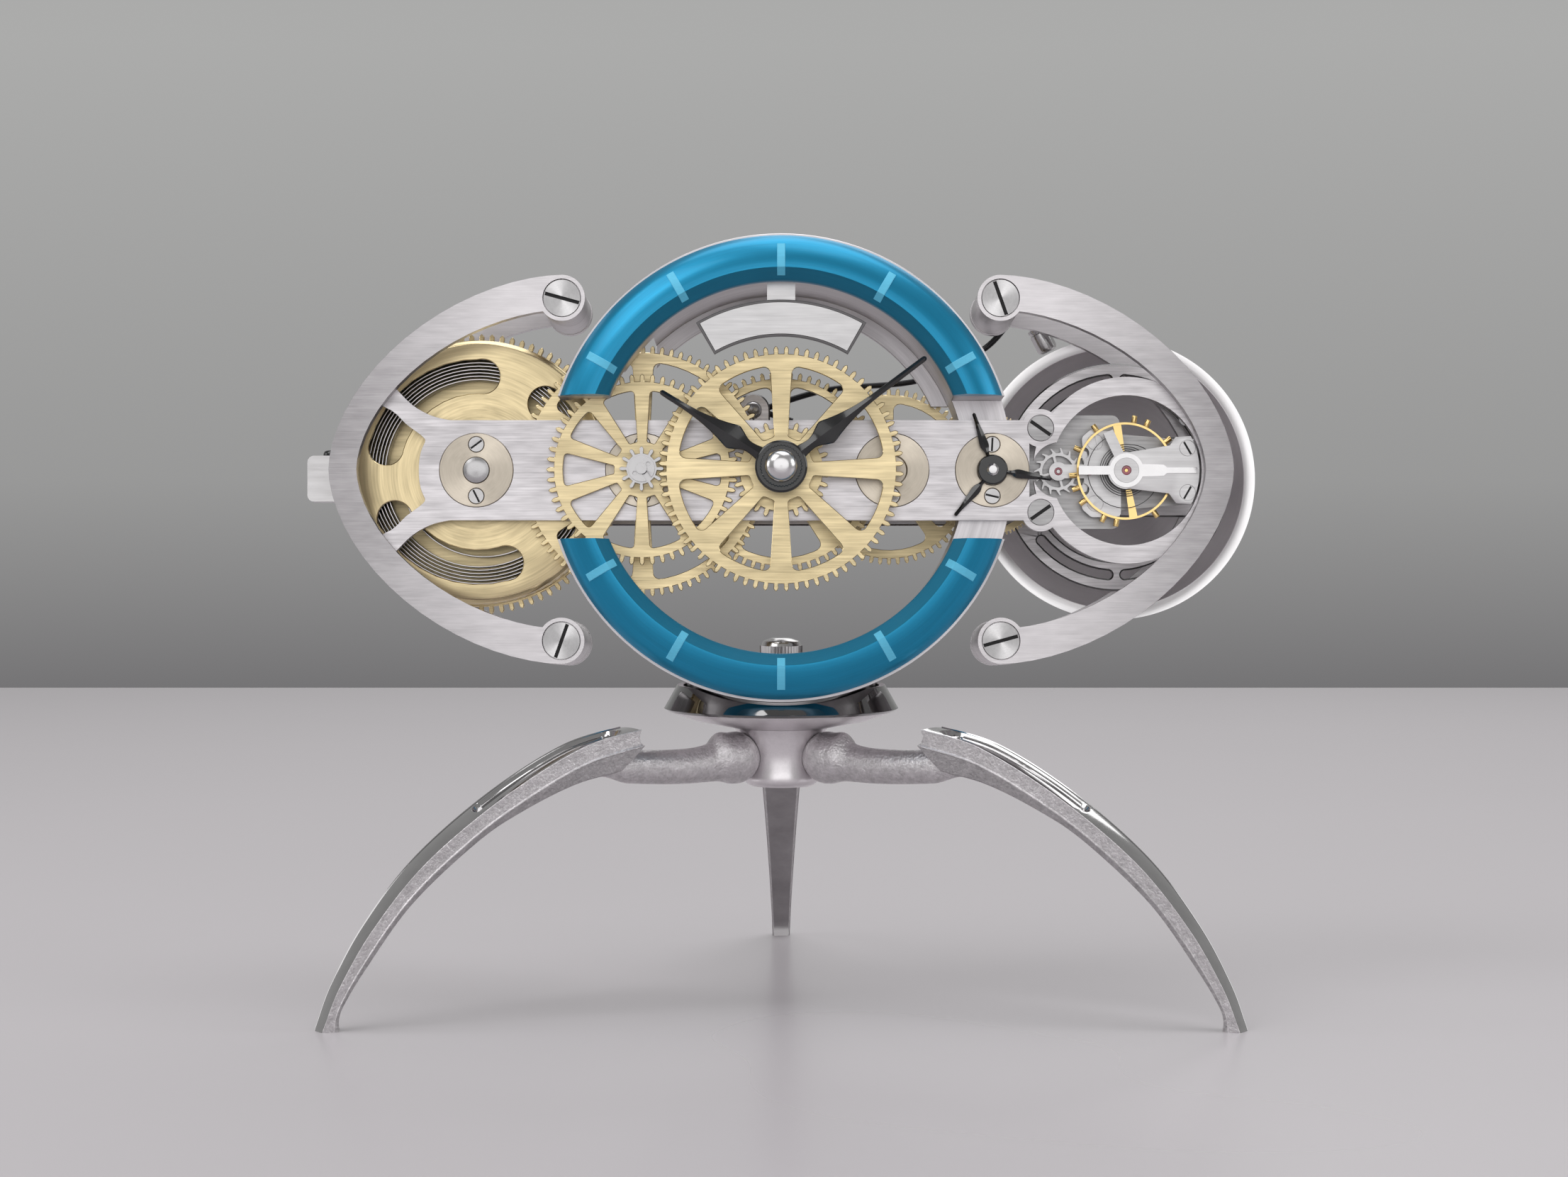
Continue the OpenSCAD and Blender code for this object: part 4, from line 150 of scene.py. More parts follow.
def smooth_max(a, b, k):
    """The larger of two lines, with the corner where they cross rounded over a width k."""
    return (a + b + np.sqrt((a - b) ** 2 + k**2)) / 2


def in_body(points):
    """Body points [right, depth, up] taken to the room: turned by the lean and put at the hand arbor."""
    x, y, z = np.moveaxis(np.asarray(points, float), -1, 0)
    c, s = math.cos(TILT), math.sin(TILT)
    return np.stack([x, BODY_Y + y * c + z * s, AXIS_Z - y * s + z * c], -1)


def across_body(x, depth, z):
    """Body points from three arrays that are brought to one shape."""
    return in_body(np.stack(np.broadcast_arrays(x, depth, z), -1))


def on_stand(points, turn=0.0):
    """Stand points [out, aside, up] turned about the hub's upright axis and put at the hub."""
    x, y, z = np.moveaxis(np.asarray(points, float), -1, 0)
    c, s = math.cos(turn), math.sin(turn)
    return np.stack([x * c - y * s, HUB_Y + x * s + y * c, z], -1)


def grid_faces(rows, cols, round_rows, round_cols):
    """Four-sided faces between neighbouring points of a grid, which may close on itself either way."""
    last_row, last_col = rows if round_rows else rows - 1, cols if round_cols else cols - 1
    i, j = np.meshgrid(np.arange(last_row), np.arange(last_col), indexing="ij")
    k, m = (i + 1) % rows, (j + 1) % cols
    return np.stack([i * cols + j, i * cols + m, k * cols + m, k * cols + j], -1).reshape(-1, 4)


def surface(points, round_rows=False, round_cols=False, columns=(0,)):
    """A part made of one grid of points. columns gives the material of each column of faces, or of all."""
    rows, cols = points.shape[:2]
    faces = grid_faces(rows, cols, round_rows, round_cols)
    across = cols if round_cols else cols - 1
    return points.reshape(-1, 3), faces, np.tile(np.resize(columns, across), len(faces) // across)


def filled(ring):
    """A flat end in the first finish: a fan from the ring's middle to its points."""
    count = len(ring)
    i = np.arange(count)
    fan = np.stack([i, (i + 1) % count, np.full(count, count)], -1)
    return np.vstack([ring, ring.mean(0)]), fan, np.zeros(count, int)


def loft(rings, columns=(0,)):
    """A solid whose rings follow each other along a path, with both ends filled."""
    return [surface(rings, round_cols=True, columns=columns), filled(rings[0]), filled(rings[-1])]


def turned(profile, x=0.0, z=0.0, steps=96, columns=(0,)):
    """A body of revolution about a depth line at (x, z): each point [radius, depth] of a closed profile runs
    round a circle. columns gives the material of each stretch of the profile."""
    r, depth = np.asarray(profile, float).T
    a = 2 * np.pi * np.arange(steps)[:, None] / steps
    points = across_body(x + r * np.cos(a), depth, z + r * np.sin(a))
    return [surface(points, round_rows=True, round_cols=True, columns=columns)]


def corners_rounded(profile, radius, steps=4):
    """A closed profile whose corners are short curves that leave and meet their sides at the radius."""
    p = np.asarray(profile, float)
    before, after = np.roll(p, 1, 0) - p, np.roll(p, -1, 0) - p
    size_before, size_after = np.linalg.norm(before, axis=1), np.linalg.norm(after, axis=1)
    cut = np.minimum(np.minimum(size_before, size_after) * 0.45, np.broadcast_to(radius, len(p)))
    start = (p + before * (cut / size_before)[:, None])[:, None]
    end = (p + after * (cut / size_after)[:, None])[:, None]
    t = (np.arange(steps + 1) / steps)[None, :, None]
    return ((1 - t) ** 2 * start + 2 * t * (1 - t) * p[:, None] + t**2 * end).reshape(-1, p.shape[1])


def make(name, parts, body, finishes, replaces=(), sharp=32.0):
    """Joins parts into one piece: equal points are merged, faces turned outward and edges above an angle kept
    sharp. Each part is (points, faces, material of each face), and finishes names the materials in order."""
    points = np.vstack([p for p, _, _ in parts])
    offsets = np.cumsum([0] + [len(p) for p, _, _ in parts[:-1]])
    faces = [row for (_, f, _), offset in zip(parts, offsets) for row in (f + offset).tolist()]
    mesh = bpy.data.meshes.new(name)
    mesh.from_pydata(points.tolist(), [], faces)
    mesh.polygons.foreach_set("material_index", np.concatenate([m for _, _, m in parts]).astype(np.int32))
    edit = bmesh.new()
    edit.from_mesh(mesh)
    bmesh.ops.remove_doubles(edit, verts=edit.verts, dist=SAME_POINT)
    bmesh.ops.recalc_face_normals(edit, faces=edit.faces)
    edit.to_mesh(mesh)
    edit.free()
    mesh.shade_smooth()
    mesh.set_sharp_from_angle(angle=math.radians(sharp))
    for short in finishes.split():
        mesh.materials.append(metal(short))
    piece = bpy.data.objects.new(name, mesh)
    bpy.context.scene.collection.objects.link(piece)
    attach(piece, body)
    if replaces:
        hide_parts(*replaces)


def body_of(node):
    """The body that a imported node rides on."""
    return next(name for name, nodes in frame["record"]["behaviour"]["bodies"].items() if node in nodes)


# Shader nodes, patterns and finishes


def feed(tree, given, inputs):
    """Sets each named input of a node to a value, or links it to another node's output."""
    for name, value in inputs.items():
        if isinstance(value, bpy.types.NodeSocket):
            tree.links.new(value, given.inputs[name])
        elif value is not None:
            given.inputs[name].default_value = value


def node(tree, kind, inputs, **settings):
    """The outputs of a new shader node with these settings and inputs."""
    made = tree.nodes.new("ShaderNode" + kind)
    for name, value in settings.items():
        setattr(made, name, value)
    feed(tree, made, inputs)
    return made.outputs


def math_node(tree, operation, *values, clamp=False):
    """A Math node's output, each input being a number or another output."""
    return node(tree, "Math", dict(enumerate(values)), operation=operation, use_clamp=clamp)[0]


def product(tree, a, b):
    """Two values multiplied."""
    return math_node(tree, "MULTIPLY", a, b)


def weighed(tree, a, share, b):
    """A share of one value and the rest of another."""
    return math_node(tree, "MULTIPLY_ADD", a, share, product(tree, b, 1 - share))


def parts_of(tree, vector):
    """A vector's three axes."""
    return node(tree, "SeparateXYZ", {0: vector})


def joined(tree, *axes):
    """A vector from three outputs."""
    return node(tree, "CombineXYZ", dict(enumerate(axes)))[0]


def noise(tree, vector, scale, detail=2.0, roughness=0.5):
    """A Noise Texture's value at a vector."""
    inputs = {"Vector": vector, "Scale": scale, "Detail": detail, "Roughness": roughness}
    return node(tree, "TexNoise", inputs)["Fac"]


def spread(tree, value, low, high, to_low=0.0, to_high=1.0):
    """A Map Range output that takes low..high to another range, with its ends held."""
    inputs = {"Value": value, "From Min": low, "From Max": high, "To Min": to_low, "To Max": to_high}
    return node(tree, "MapRange", inputs)["Result"]


def stretched(tree, vector, factors):
    """A vector times three factors."""
    return node(tree, "VectorMath", {0: vector, 1: factors}, operation="MULTIPLY")[0]


def scratches_from(tree, vector, scale):
    """Fine and broad lines from a vector whose first axis runs along them: shade, and height of the lines."""
    fine = spread(tree, noise(tree, vector, scale, 3.0, 0.65), 0.28, 0.72)
    wide = spread(tree, noise(tree, stretched(tree, vector, (1.7, 0.22, 0.22)), scale), 0.3, 0.7)
    cloud = spread(tree, noise(tree, vector, product(tree, scale, 0.018)), 0.35, 0.65)
    lines = weighed(tree, wide, 0.4, fine)
    return weighed(tree, cloud, 0.22, lines), lines


def straight_brushing(tree, given):
    """Brushing in straight lines along the vector's first axis."""
    return scratches_from(tree, stretched(tree, given["Vector"], (0.028, 1.0, 1.0)), given["Scale"])


def round_brushing(tree, given):
    """Brushing in circles about the vector's second axis. The pattern is read at the radius and the point's
    direction, so it runs round without a seam. Fans mixes in a painted sheen, the opposite fans of light of a
    turned face: the fourth power of the cosine of the angle from a slanting line."""
    x, y, z = parts_of(tree, given["Vector"])
    radius = math_node(tree, "SQRT", math_node(tree, "ADD", product(tree, x, x), product(tree, z, z)))
    safe = math_node(tree, "MAXIMUM", radius, 1e-5)
    east, north = (math_node(tree, "DIVIDE", v, safe) for v in (x, z))
    slant, seam_free = math.radians(62), 0.0008
    out = math_node(tree, "ADD", radius, product(tree, y, 0.5))
    place = joined(tree, product(tree, east, seam_free), out, product(tree, north, seam_free))
    shade, lines = scratches_from(tree, place, given["Scale"])
    # Painted sheen: two opposite bright fans painted into the shade, mixed in as strongly as Fans asks.
    across = product(tree, east, math.cos(slant))
    painted_sheen_beam = math_node(tree, "ABSOLUTE", math_node(tree, "MULTIPLY_ADD", north, math.sin(slant), across))
    fan = math_node(tree, "SUBTRACT", math_node(tree, "POWER", painted_sheen_beam, 4.0), shade)
    return math_node(tree, "MULTIPLY_ADD", fan, given["Fans"], shade), lines


def cast_grain(tree, given):
    """The pebbled skin of a fine casting: two sizes of grain, and slow changes of tone."""
    vector, scale = given["Vector"], given["Scale"]
    grain = spread(tree, noise(tree, vector, scale, 3.0, 0.6), 0.3, 0.7)
    coarse = spread(tree, noise(tree, vector, product(tree, scale, 0.35)), 0.3, 0.7)
    cloud = spread(tree, noise(tree, vector, 60.0), 0.35, 0.65)
    height = weighed(tree, coarse, 0.45, grain)
    return weighed(tree, cloud, 0.12, height), height


def handling(tree, given):
    """Faint marks of use on a polished face: soft clouds where it has been wiped, and some hair scratches."""
    vector, scale = given["Vector"], given["Scale"]
    cloud = noise(tree, vector, scale, 4.0, 0.6)
    hair = noise(tree, stretched(tree, vector, (0.3, 3.0, 5.0)), product(tree, scale, 9.0))
    return spread(tree, cloud, 0.35, 0.7), spread(tree, hair, 0.62, 0.75)


GROUPS = {}
PATTERNS = {
    "straight": ("Straight brushing", 3000.0, straight_brushing),
    "round": ("Round brushing", 3000.0, round_brushing),
    "cast": ("Cast grain", 1100.0, cast_grain),
    "handling": ("Handling", 90.0, handling),
}
MATERIALS = {}
AT_BELL = {"centre": (BALANCE_X, 0), "bump": 2e-6, "scale": 2400}
UPRIGHT = {"lean": False}
CASTING = {"bump": 1.8e-4, "scale": 1500, "metallic": 0.9, "contrast": 0.34, "lean": False}

# Each finish by its short name: its material, colour, the colour's factor, pattern, roughness, and the rest.
FINISHES = {
    "plate": (
        "brushed_plate_steel", "steel", 1, "straight", (0.42, 0.29),
        dict(bump=9e-6, scale=2300, contrast=0.42)),
    # Painted shade: the arm finish's fade darkens the arms towards their tips, for the brushed sheen falling
    # away.
    "arm": (
        "satin_arm_steel", "steel", 1, "straight", (0.40, 0.28),
        dict(bump=4e-6, scale=3200, contrast=0.5, painted_shade_fade=(0.068, 0.112, 0.50))),
    "satin": ("satin_turned_steel", "steel", 1, "round", (0.42, 0.30), dict(bump=4e-6, scale=2800)),
    "chamfer": ("polished_chamfer", "polished_steel", 0.72, "handling", (0.13, 0.20), dict(contrast=0.15)),
    # Painted dark reflection: the plate and arm chamfers are darker copies of polished steel, standing in for
    # the dark surroundings they reflect.
    "plate_edge": (
        "dark_plate_chamfer", "polished_steel", 0.22, "handling", (0.20, 0.28),
        dict(contrast=0.15)),
    "arm_edge": ("grey_arm_chamfer", "polished_steel", 0.45, "handling", (0.16, 0.24), dict(contrast=0.15)),
    "polished": ("polished_steel", "polished_steel", 1, "handling", (0.17, 0.26), dict(contrast=0.15)),
    # The screws' and discs' fans are a painted sheen: fans of light painted into their turned finish.
    "screw": (
        "turned_screw_steel", "polished_steel", 1, "round", (0.34, 0.24),
        dict(bump=3e-6, scale=3600, contrast=0.42, corner=POST, fans=0.7)),
    "disc": (
        "turned_nickel_silver", "nickel", 1, "round", (0.38, 0.28),
        dict(bump=4e-6, scale=3000, contrast=0.30, arbors=ARBORS, fans=0.55)),
    "pivot": ("satin_small_steel", "polished_steel", 0.9, "handling", (0.24, 0.34), dict(contrast=0.15)),
    "mirror": (
        "mirror_steel", "polished_steel", 0.95, "handling", (0.07, 0.13),
        dict(contrast=0.1, **UPRIGHT)),
    "dome": ("soft_dome_steel", "polished_steel", 1.25, "handling", (0.20, 0.28), dict(contrast=0.12)),
    # Painted dark reflection: the cup's chrome is darkened to stand in for the dark surroundings it reflects.
    "cup": (
        "dark_chrome_cup", "polished_steel", 0.36, "handling", (0.03, 0.07),
        dict(contrast=0.2, **UPRIGHT)),
    "hub": (
        "satin_hub_steel", "steel", 1.32, "cast", (0.38, 0.30),
        dict(bump=2e-6, scale=2600, contrast=0.08, **UPRIGHT)),
    "cast": ("cast_leg_metal", "cast_metal", 1, "cast", (0.46, 0.28), CASTING),
    # Painted shade: a darker copy of the cast metal for the legs' lower facets.
    "cast_low": ("cast_leg_shade", "cast_metal", 0.72, "cast", (0.46, 0.30), CASTING),
    "under": ("smooth_leg_under", "steel", 0.6, "handling", (0.30, 0.40), dict(contrast=0.2, **UPRIGHT)),
    "silver": (
        "satin_silver", "polished_steel", 1.08, "straight", (0.42, 0.32),
        dict(bump=3e-6, scale=2600, contrast=0.16)),
    "platform": (
        "brushed_platform_steel", "polished_steel", 0.72, "straight", (0.44, 0.32),
        dict(bump=5e-6, scale=2400, contrast=0.35)),
    # Painted dark reflection and shade: the border finish colours the name plate's sunk line and the chamfers
    # round screw heads.
    "border": ("dark_plate_line", "steel", 0.22, "handling", (0.30, 0.40), dict(contrast=0.2)),
    # Painted shade: the slot finish is a dark strip standing in for the shade down in screw slots.
    "slot": ("dark_slot_floor", "steel", 0.05, "handling", (0.55, 0.65), dict(metallic=0.3, contrast=0.2)),
    "bell": (
        "satin_bell_metal", "polished_steel", 0.9, "round", (0.50, 0.42),
        dict(contrast=0.12, **AT_BELL)),
    # Painted light: the bell's inside and rim are brighter copies of steel, painted light inside and a painted
    # highlight on the lip.
    "bell_inside": (
        "soft_bell_inside", "steel", 1.52, "round", (0.34, 0.26),
        dict(metallic=0.3, contrast=0.08, **AT_BELL)),
    "bell_rim": (
        "bright_bell_rim", "polished_steel", 1.6, "round", (0.34, 0.26),
        dict(contrast=0.1, **AT_BELL)),
    # Painted light: lit and shaded copies of one steel, the mainspring's faces painted dark between its coils
    # and its edges a painted highlight.
    "spring": ("spring_steel", "steel", 0.3, "handling", (0.26, 0.34), dict(contrast=0.2)),
    "spring_edge": ("bright_spring_edge", "steel", 1.05, "handling", (0.26, 0.34), {}),
    "hair": ("hairspring_alloy", "steel", 0.1, "handling", (0.3, 0.4), {}),
    "brass": (
        "brushed_brass", "brass", 1, "straight", (0.44, 0.30),
        dict(bump=8e-6, scale=2000, contrast=0.42)),
    "cover": (
        "turned_brass_cover", "brass", 1, "round", (0.42, 0.28),
        dict(bump=8e-6, scale=2200, contrast=0.40, centre=(BARREL_X, 0))),
    "brass_edge": ("polished_brass_edge", "brass", 1.06, "handling", (0.16, 0.24), {}),
    "gold": ("polished_gold", "gold", 1, "handling", (0.14, 0.24), dict(contrast=0.12)),
    "blue": (
        "blue_anodised_metal", "blue", 1, "round", (0.40, 0.30),
        dict(bump=3e-6, scale=2600, metallic=0.7, contrast=0.16, coat=0.1)),
    # Painted shade: a darker copy of the blue for the dial ring's inner bevel.
    "blue_deep": (
        "deep_blue_bevel", "blue", 0.75, "round", (0.45, 0.36),
        dict(bump=3e-6, scale=2600, metallic=0.3, contrast=0.16)),
    "pale_blue": (
        "pale_blue_marker", "pale_blue", 1, "straight", (0.6, 0.5),
        dict(bump=3e-6, scale=2600, metallic=0.1, contrast=0.12, ior=1.2)),
    "black": (
        "black_gloss_metal", "black", 1, "handling", (0.12, 0.20),
        dict(metallic=0.0, contrast=0.3, coat=0.25, ior=1.5)),
    "blackened": (
        "blackened_steel", "black", 2.2, "handling", (0.24, 0.34),
        dict(metallic=0.6, contrast=0.3)),
    "ruby": (
        "ruby_jewel", "ruby", 1, "handling", (0.04, 0.08),
        dict(metallic=0.0, contrast=0.2, coat=0.6, ior=1.76)),
}


def effect(name):
    """A shader group by name, built once: from a vector, a scale and perhaps a strength of fans, it gives the
    shade and the height of a pattern."""
    if name in GROUPS:
        return GROUPS[name]
    label, scale, pattern = PATTERNS[name]
    tree = bpy.data.node_groups.new(label, "ShaderNodeTree")
    tree.interface.new_socket("Vector", in_out="INPUT", socket_type="NodeSocketVector")
    numbers = {"Scale": scale, "Fans": 0.0} if name == "round" else {"Scale": scale}
    for socket, value in numbers.items():
        tree.interface.new_socket(socket, in_out="INPUT", socket_type="NodeSocketFloat").default_value = value
    for socket in ("Shade", "Height"):
        tree.interface.new_socket(socket, in_out="OUTPUT", socket_type="NodeSocketFloat")
    given, out = tree.nodes.new("NodeGroupInput"), tree.nodes.new("NodeGroupOutput")
    feed(tree, out, dict(zip(("Shade", "Height"), pattern(tree, given.outputs))))
    GROUPS[name] = tree
    return tree


def from_nearest(tree, vector, arbors):
    """The vector with its first axis counted from the nearest arbor of a row: past each midpoint between two
    arbors, the distance between them is taken off."""
    x, y, z = parts_of(tree, vector)
    offset = arbors[0]
    for near, far in zip(arbors, arbors[1:]):
        past = math_node(tree, "GREATER_THAN", x, (near + far) / 2)
        offset = math_node(tree, "MULTIPLY_ADD", past, far - near, offset)
    return joined(tree, math_node(tree, "SUBTRACT", x, offset), y, z)


def from_corner(tree, vector, corner):
    """The vector counted from the nearest of four corners that mirror each other: sizes less the corner's."""
    x, y, z = parts_of(tree, vector)
    sizes = [math_node(tree, "ABSOLUTE", v) for v in (x, z)]
    x, z = (math_node(tree, "SUBTRACT", size, c) for size, c in zip(sizes, corner))
    return joined(tree, x, y, z)


def painted_shade_outward(tree, vector, shade, painted_shade_fade):
    """Painted shade for the sheen of brushed arms: the shade, calmed to a narrower range, less an amount that
    grows from 0 to its full size as the first axis, either way from the middle, runs from one distance to
    another, so the arms are painted darker towards their tips."""
    start, end, amount = painted_shade_fade
    distance = math_node(tree, "ABSOLUTE", parts_of(tree, vector)[0])
    calm = math_node(tree, "MULTIPLY_ADD", shade, 0.4, 0.38)
    return math_node(tree, "SUBTRACT", calm, spread(tree, distance, start, end, 0.0, amount), clamp=True)


def finish(name, tone, pattern, roughness, bump=0.0, scale=None, metallic=1.0, contrast=0.25, centre=(0, 0),
           arbors=None, corner=None, fans=None, painted_shade_fade=None, lean=True, coat=0.0, ior=1.45):
    """A metal finish. The pattern's shade moves colour and roughness, and its height lifts the surface.

    tone: base colour; roughness: (where the pattern is dark, where it is light); contrast: how far the colour
    darkens there; bump: height of the pattern in metres. A turned pattern is about centre (x, z), the nearest
    of a row of arbors or the nearest of four mirrored corners, and fans is the strength of its painted sheen,
    fans of light painted into the shade that sets colour and roughness.
    fade is painted shade: it takes the shade down over a stretch on each side of the middle, standing in for
    the sheen of brushed arms falling away: (from, to, amount)."""
    if name in MATERIALS:
        return MATERIALS[name]
    material = bpy.data.materials.new(name)
    material.use_nodes = True
    tree = material.node_tree
    place = {"Vector": node(tree, "TexCoord", {})["Object"], "Location": (0, HUB_Y, 0)}
    if lean:
        place["Location"] = in_body([centre[0], 0, centre[1]]).tolist()
        place["Rotation"] = (-TILT, 0, 0)
    vector = placed = node(tree, "Mapping", place, vector_type="TEXTURE")["Vector"]
    if arbors:
        vector = from_nearest(tree, vector, arbors)
    if corner:
        vector = from_corner(tree, vector, corner)
    used = node(tree, "Group", {"Vector": vector, "Scale": scale, "Fans": fans}, node_tree=effect(pattern))
    shade = used["Shade"]
    # Painted shade, darker towards the arms' tips, for the brushed sheen falling away.
    if painted_shade_fade:
        shade = painted_shade_outward(tree, placed, shade, painted_shade_fade)
    dark, light = ((*times(tone, factor), 1) for factor in (1 - contrast, 1 + 0.45 * contrast))
    mixed = node(tree, "Mix", {"Factor": shade, "A": dark, "B": light}, data_type="RGBA")["Result"]
    look = {"Base Color": mixed, "Roughness": spread(tree, shade, 0, 1, *roughness)}
    look.update({"Metallic": metallic, "IOR": ior, "Coat Weight": coat})
    if bump:
        lift = {"Distance": bump, "Strength": 1.0, "Height": used["Height"]}
        look["Normal"] = node(tree, "Bump", lift)["Normal"]
    feed(tree, tree.nodes["Principled BSDF"], look)
    MATERIALS[name] = material
    return material


def times(tone, factor):
    """A colour made lighter or darker."""
    return tuple(min(1.0, factor * v) for v in tone)


def metal(name):
    """A finish of the clock by its short name."""
    label, tone, factor, pattern, roughness, more = FINISHES[name]
    colour_of = tuple(getattr(bpy.context.scene.clock_colours, tone))
    return finish(label, times(colour_of, factor), pattern, roughness, **more)


# Carried-over nodes


def tidy_shading():
    """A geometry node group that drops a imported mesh's stored normals and shades it smooth, with the edges
    above an angle kept sharp."""
    name = "Tidy shading"
    if name in bpy.data.node_groups:
        return bpy.data.node_groups[name]
    tree = bpy.data.node_groups.new(name, "GeometryNodeTree")
    for way in ("INPUT", "OUTPUT"):
        tree.interface.new_socket("Geometry", in_out=way, socket_type="NodeSocketGeometry")
    kinds = (
        "NodeGroupInput", "NodeGroupOutput", "GeometryNodeRemoveAttribute", "GeometryNodeSetShadeSmooth",
        "GeometryNodeSetShadeSmooth", "GeometryNodeInputMeshEdgeAngle", "FunctionNodeCompare",
    )
    given, out, drop, faces, edges, angle, compare = (tree.nodes.new(kind) for kind in kinds)
    drop.inputs["Name"].default_value = "custom_normal"
    edges.domain = "EDGE"
    compare.operation = "LESS_THAN"
    compare.inputs["B"].default_value = SMOOTH_BELOW
    for source, target in ((given, drop), (drop, faces), (faces, edges), (edges, out)):
        tree.links.new(source.outputs["Geometry"], target.inputs["Geometry"])
    tree.links.new(angle.outputs["Unsigned Angle"], compare.inputs["A"])
    tree.links.new(compare.outputs["Result"], edges.inputs["Shade Smooth"])
    return tree


def dress(nodes, material, edge, width, segments=1):
    """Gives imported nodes, named in one line, their finish, and a chamfer of some width along sharp edges."""
    for name in nodes.split():
        piece = frame["nodes"][name]
        piece.data.materials.clear()
        for short in (material, edge):
            piece.data.materials.append(metal(short))
        piece.modifiers.new("Merge", "WELD").merge_threshold = SAME_PACKED_POINT
        bevel = piece.modifiers.new("Chamfer", "BEVEL")
        bevel.width, bevel.segments, bevel.limit_method = width, segments, "ANGLE"
        bevel.angle_limit = CHAMFERED_ABOVE
        bevel.miter_outer, bevel.material = "MITER_SHARP", 1
        piece.modifiers.new("Shading", "NODES").node_group = tidy_shading()


class CLOCK_OT_plates(bpy.types.Operator):
    """Finish the two plates, their bushes and the bushes' screws"""

    bl_idname = "clock.plates"
    bl_label = "Plates"

    def execute(self, context):
        s = context.scene.clock_sizes
        # The plates' chamfers take a painted dark reflection.
        dress("front_plate rear_plate", "plate", "plate_edge", s.chamfer)
        dress("front_bushes rear_bushes", "disc", "disc", s.small_chamfer * 1.5)
        # The bush screws' chamfers take the border finish: painted shade round their heads.
        dress("bush_screws", "pivot", "border", s.small_chamfer * 2)
        return {"FINISHED"}


def slot_shade_strip(x, z, level, turn, radius, wide):
    """A strip of painted shade on the floor of a screw's slot, standing in for the shade down in the slot, dark
    along its two sides: a flat bar across the head, turned clockwise by degrees as seen from the front. level
    gives the depths of its face and its back, in mm."""
    along = np.linspace(-1, 1, 9)[:, None]
    side = np.array([(-1, 0), (-1, 1), (-0.6, 1), (0.6, 1), (1, 1), (1, 0)])
    across = side[:, 0] * wide / 2
    u, v = along * np.sqrt(radius**2 - across**2), 0 * along + across
    depth = level[0] + (level[1] - level[0]) * side[:, 1] + 0 * u
    c, s = math.cos(math.radians(turn)), math.sin(math.radians(turn))
    points = np.stack([x + u * c + v * s, depth, z - u * s + v * c], -1)
    return loft(in_body(MM * points), columns=[0, 0, 1, 0, 0, 0])


class CLOCK_OT_slots(bpy.types.Operator):
    """Lay a strip of painted shade, dark along its sides, on the floor of every screw's slot"""

    bl_idname = "clock.slots"
    bl_label = "Screw slots"

    def execute(self, context):
        parts = []
        frame_head, bush_head = (4.45, 0.86), (1.72, 0.46)
        platform_head, cock_head = (3.05, 0.86), (1.8, 0.46)
        bush_z, platform_place, cock_place = 6.5, (65.3, 10.6), (102.3, 5.6)
        post_x, post_z = (v / MM for v in POST)
        for x in (-post_x, post_x):
            for z in (-post_z, post_z):
                parts += slot_shade_strip(x, z, (-3.85, -3.78), x / 2 + z, *frame_head)
                parts += slot_shade_strip(x, z, (39.85, 39.78), x + z / 2, *frame_head)
        for side in (-1, 1):
            for x in (v / MM for v in ARBORS):
                parts += slot_shade_strip(x, bush_z * side, (0.05, 0.12), x + 40 * side, *bush_head)
                parts += slot_shade_strip(x, bush_z * side, (36.95, 36.88), x - 25 * side, *bush_head)
            for (x, z), level, turn, head in (
                (platform_place, (0.50, 0.58), 35, platform_head), (cock_place, (0.88, 0.95), 60, cock_head),
            ):
                parts += slot_shade_strip(x, z * side, level, turn * side, *head)
        # The strips paint shade into the slots.
        make("slot_floors", parts, "frame", "slot pivot", sharp=30)
        return {"FINISHED"}


class CLOCK_OT_arms(bpy.types.Operator):
    """Finish the frame arms, posts and frame screws"""

    bl_idname = "clock.arms"
    bl_label = "Frame arms"

    def execute(self, context):
        s = context.scene.clock_sizes
        # The arms' chamfers take a painted dark reflection.
        dress("frame_front_left frame_front_right", "arm", "arm_edge", s.chamfer * 1.1)
        dress("frame_rear_left frame_rear_right", "arm", "arm_edge", s.chamfer)
        dress("frame_posts", "satin", "chamfer", s.small_chamfer * 2)
        # The frame screws' chamfers take the border finish: painted shade round their heads.
        dress("frame_screws", "screw", "border", s.small_chamfer * 2)
        return {"FINISHED"}


class CLOCK_OT_case(bpy.types.Operator):
    """Finish the steel body ring, the clamp bolt and the stand's hub"""

    bl_idname = "clock.case"
    bl_label = "Body ring"

    def execute(self, context):
        s = context.scene.clock_sizes
        dress("body_ring", "satin", "satin", s.small_chamfer)
        dress("clamp_bolt", "polished", "chamfer", s.small_chamfer)
        dress("stand_hub", "hub", "hub", s.small_chamfer * 2)
        return {"FINISHED"}


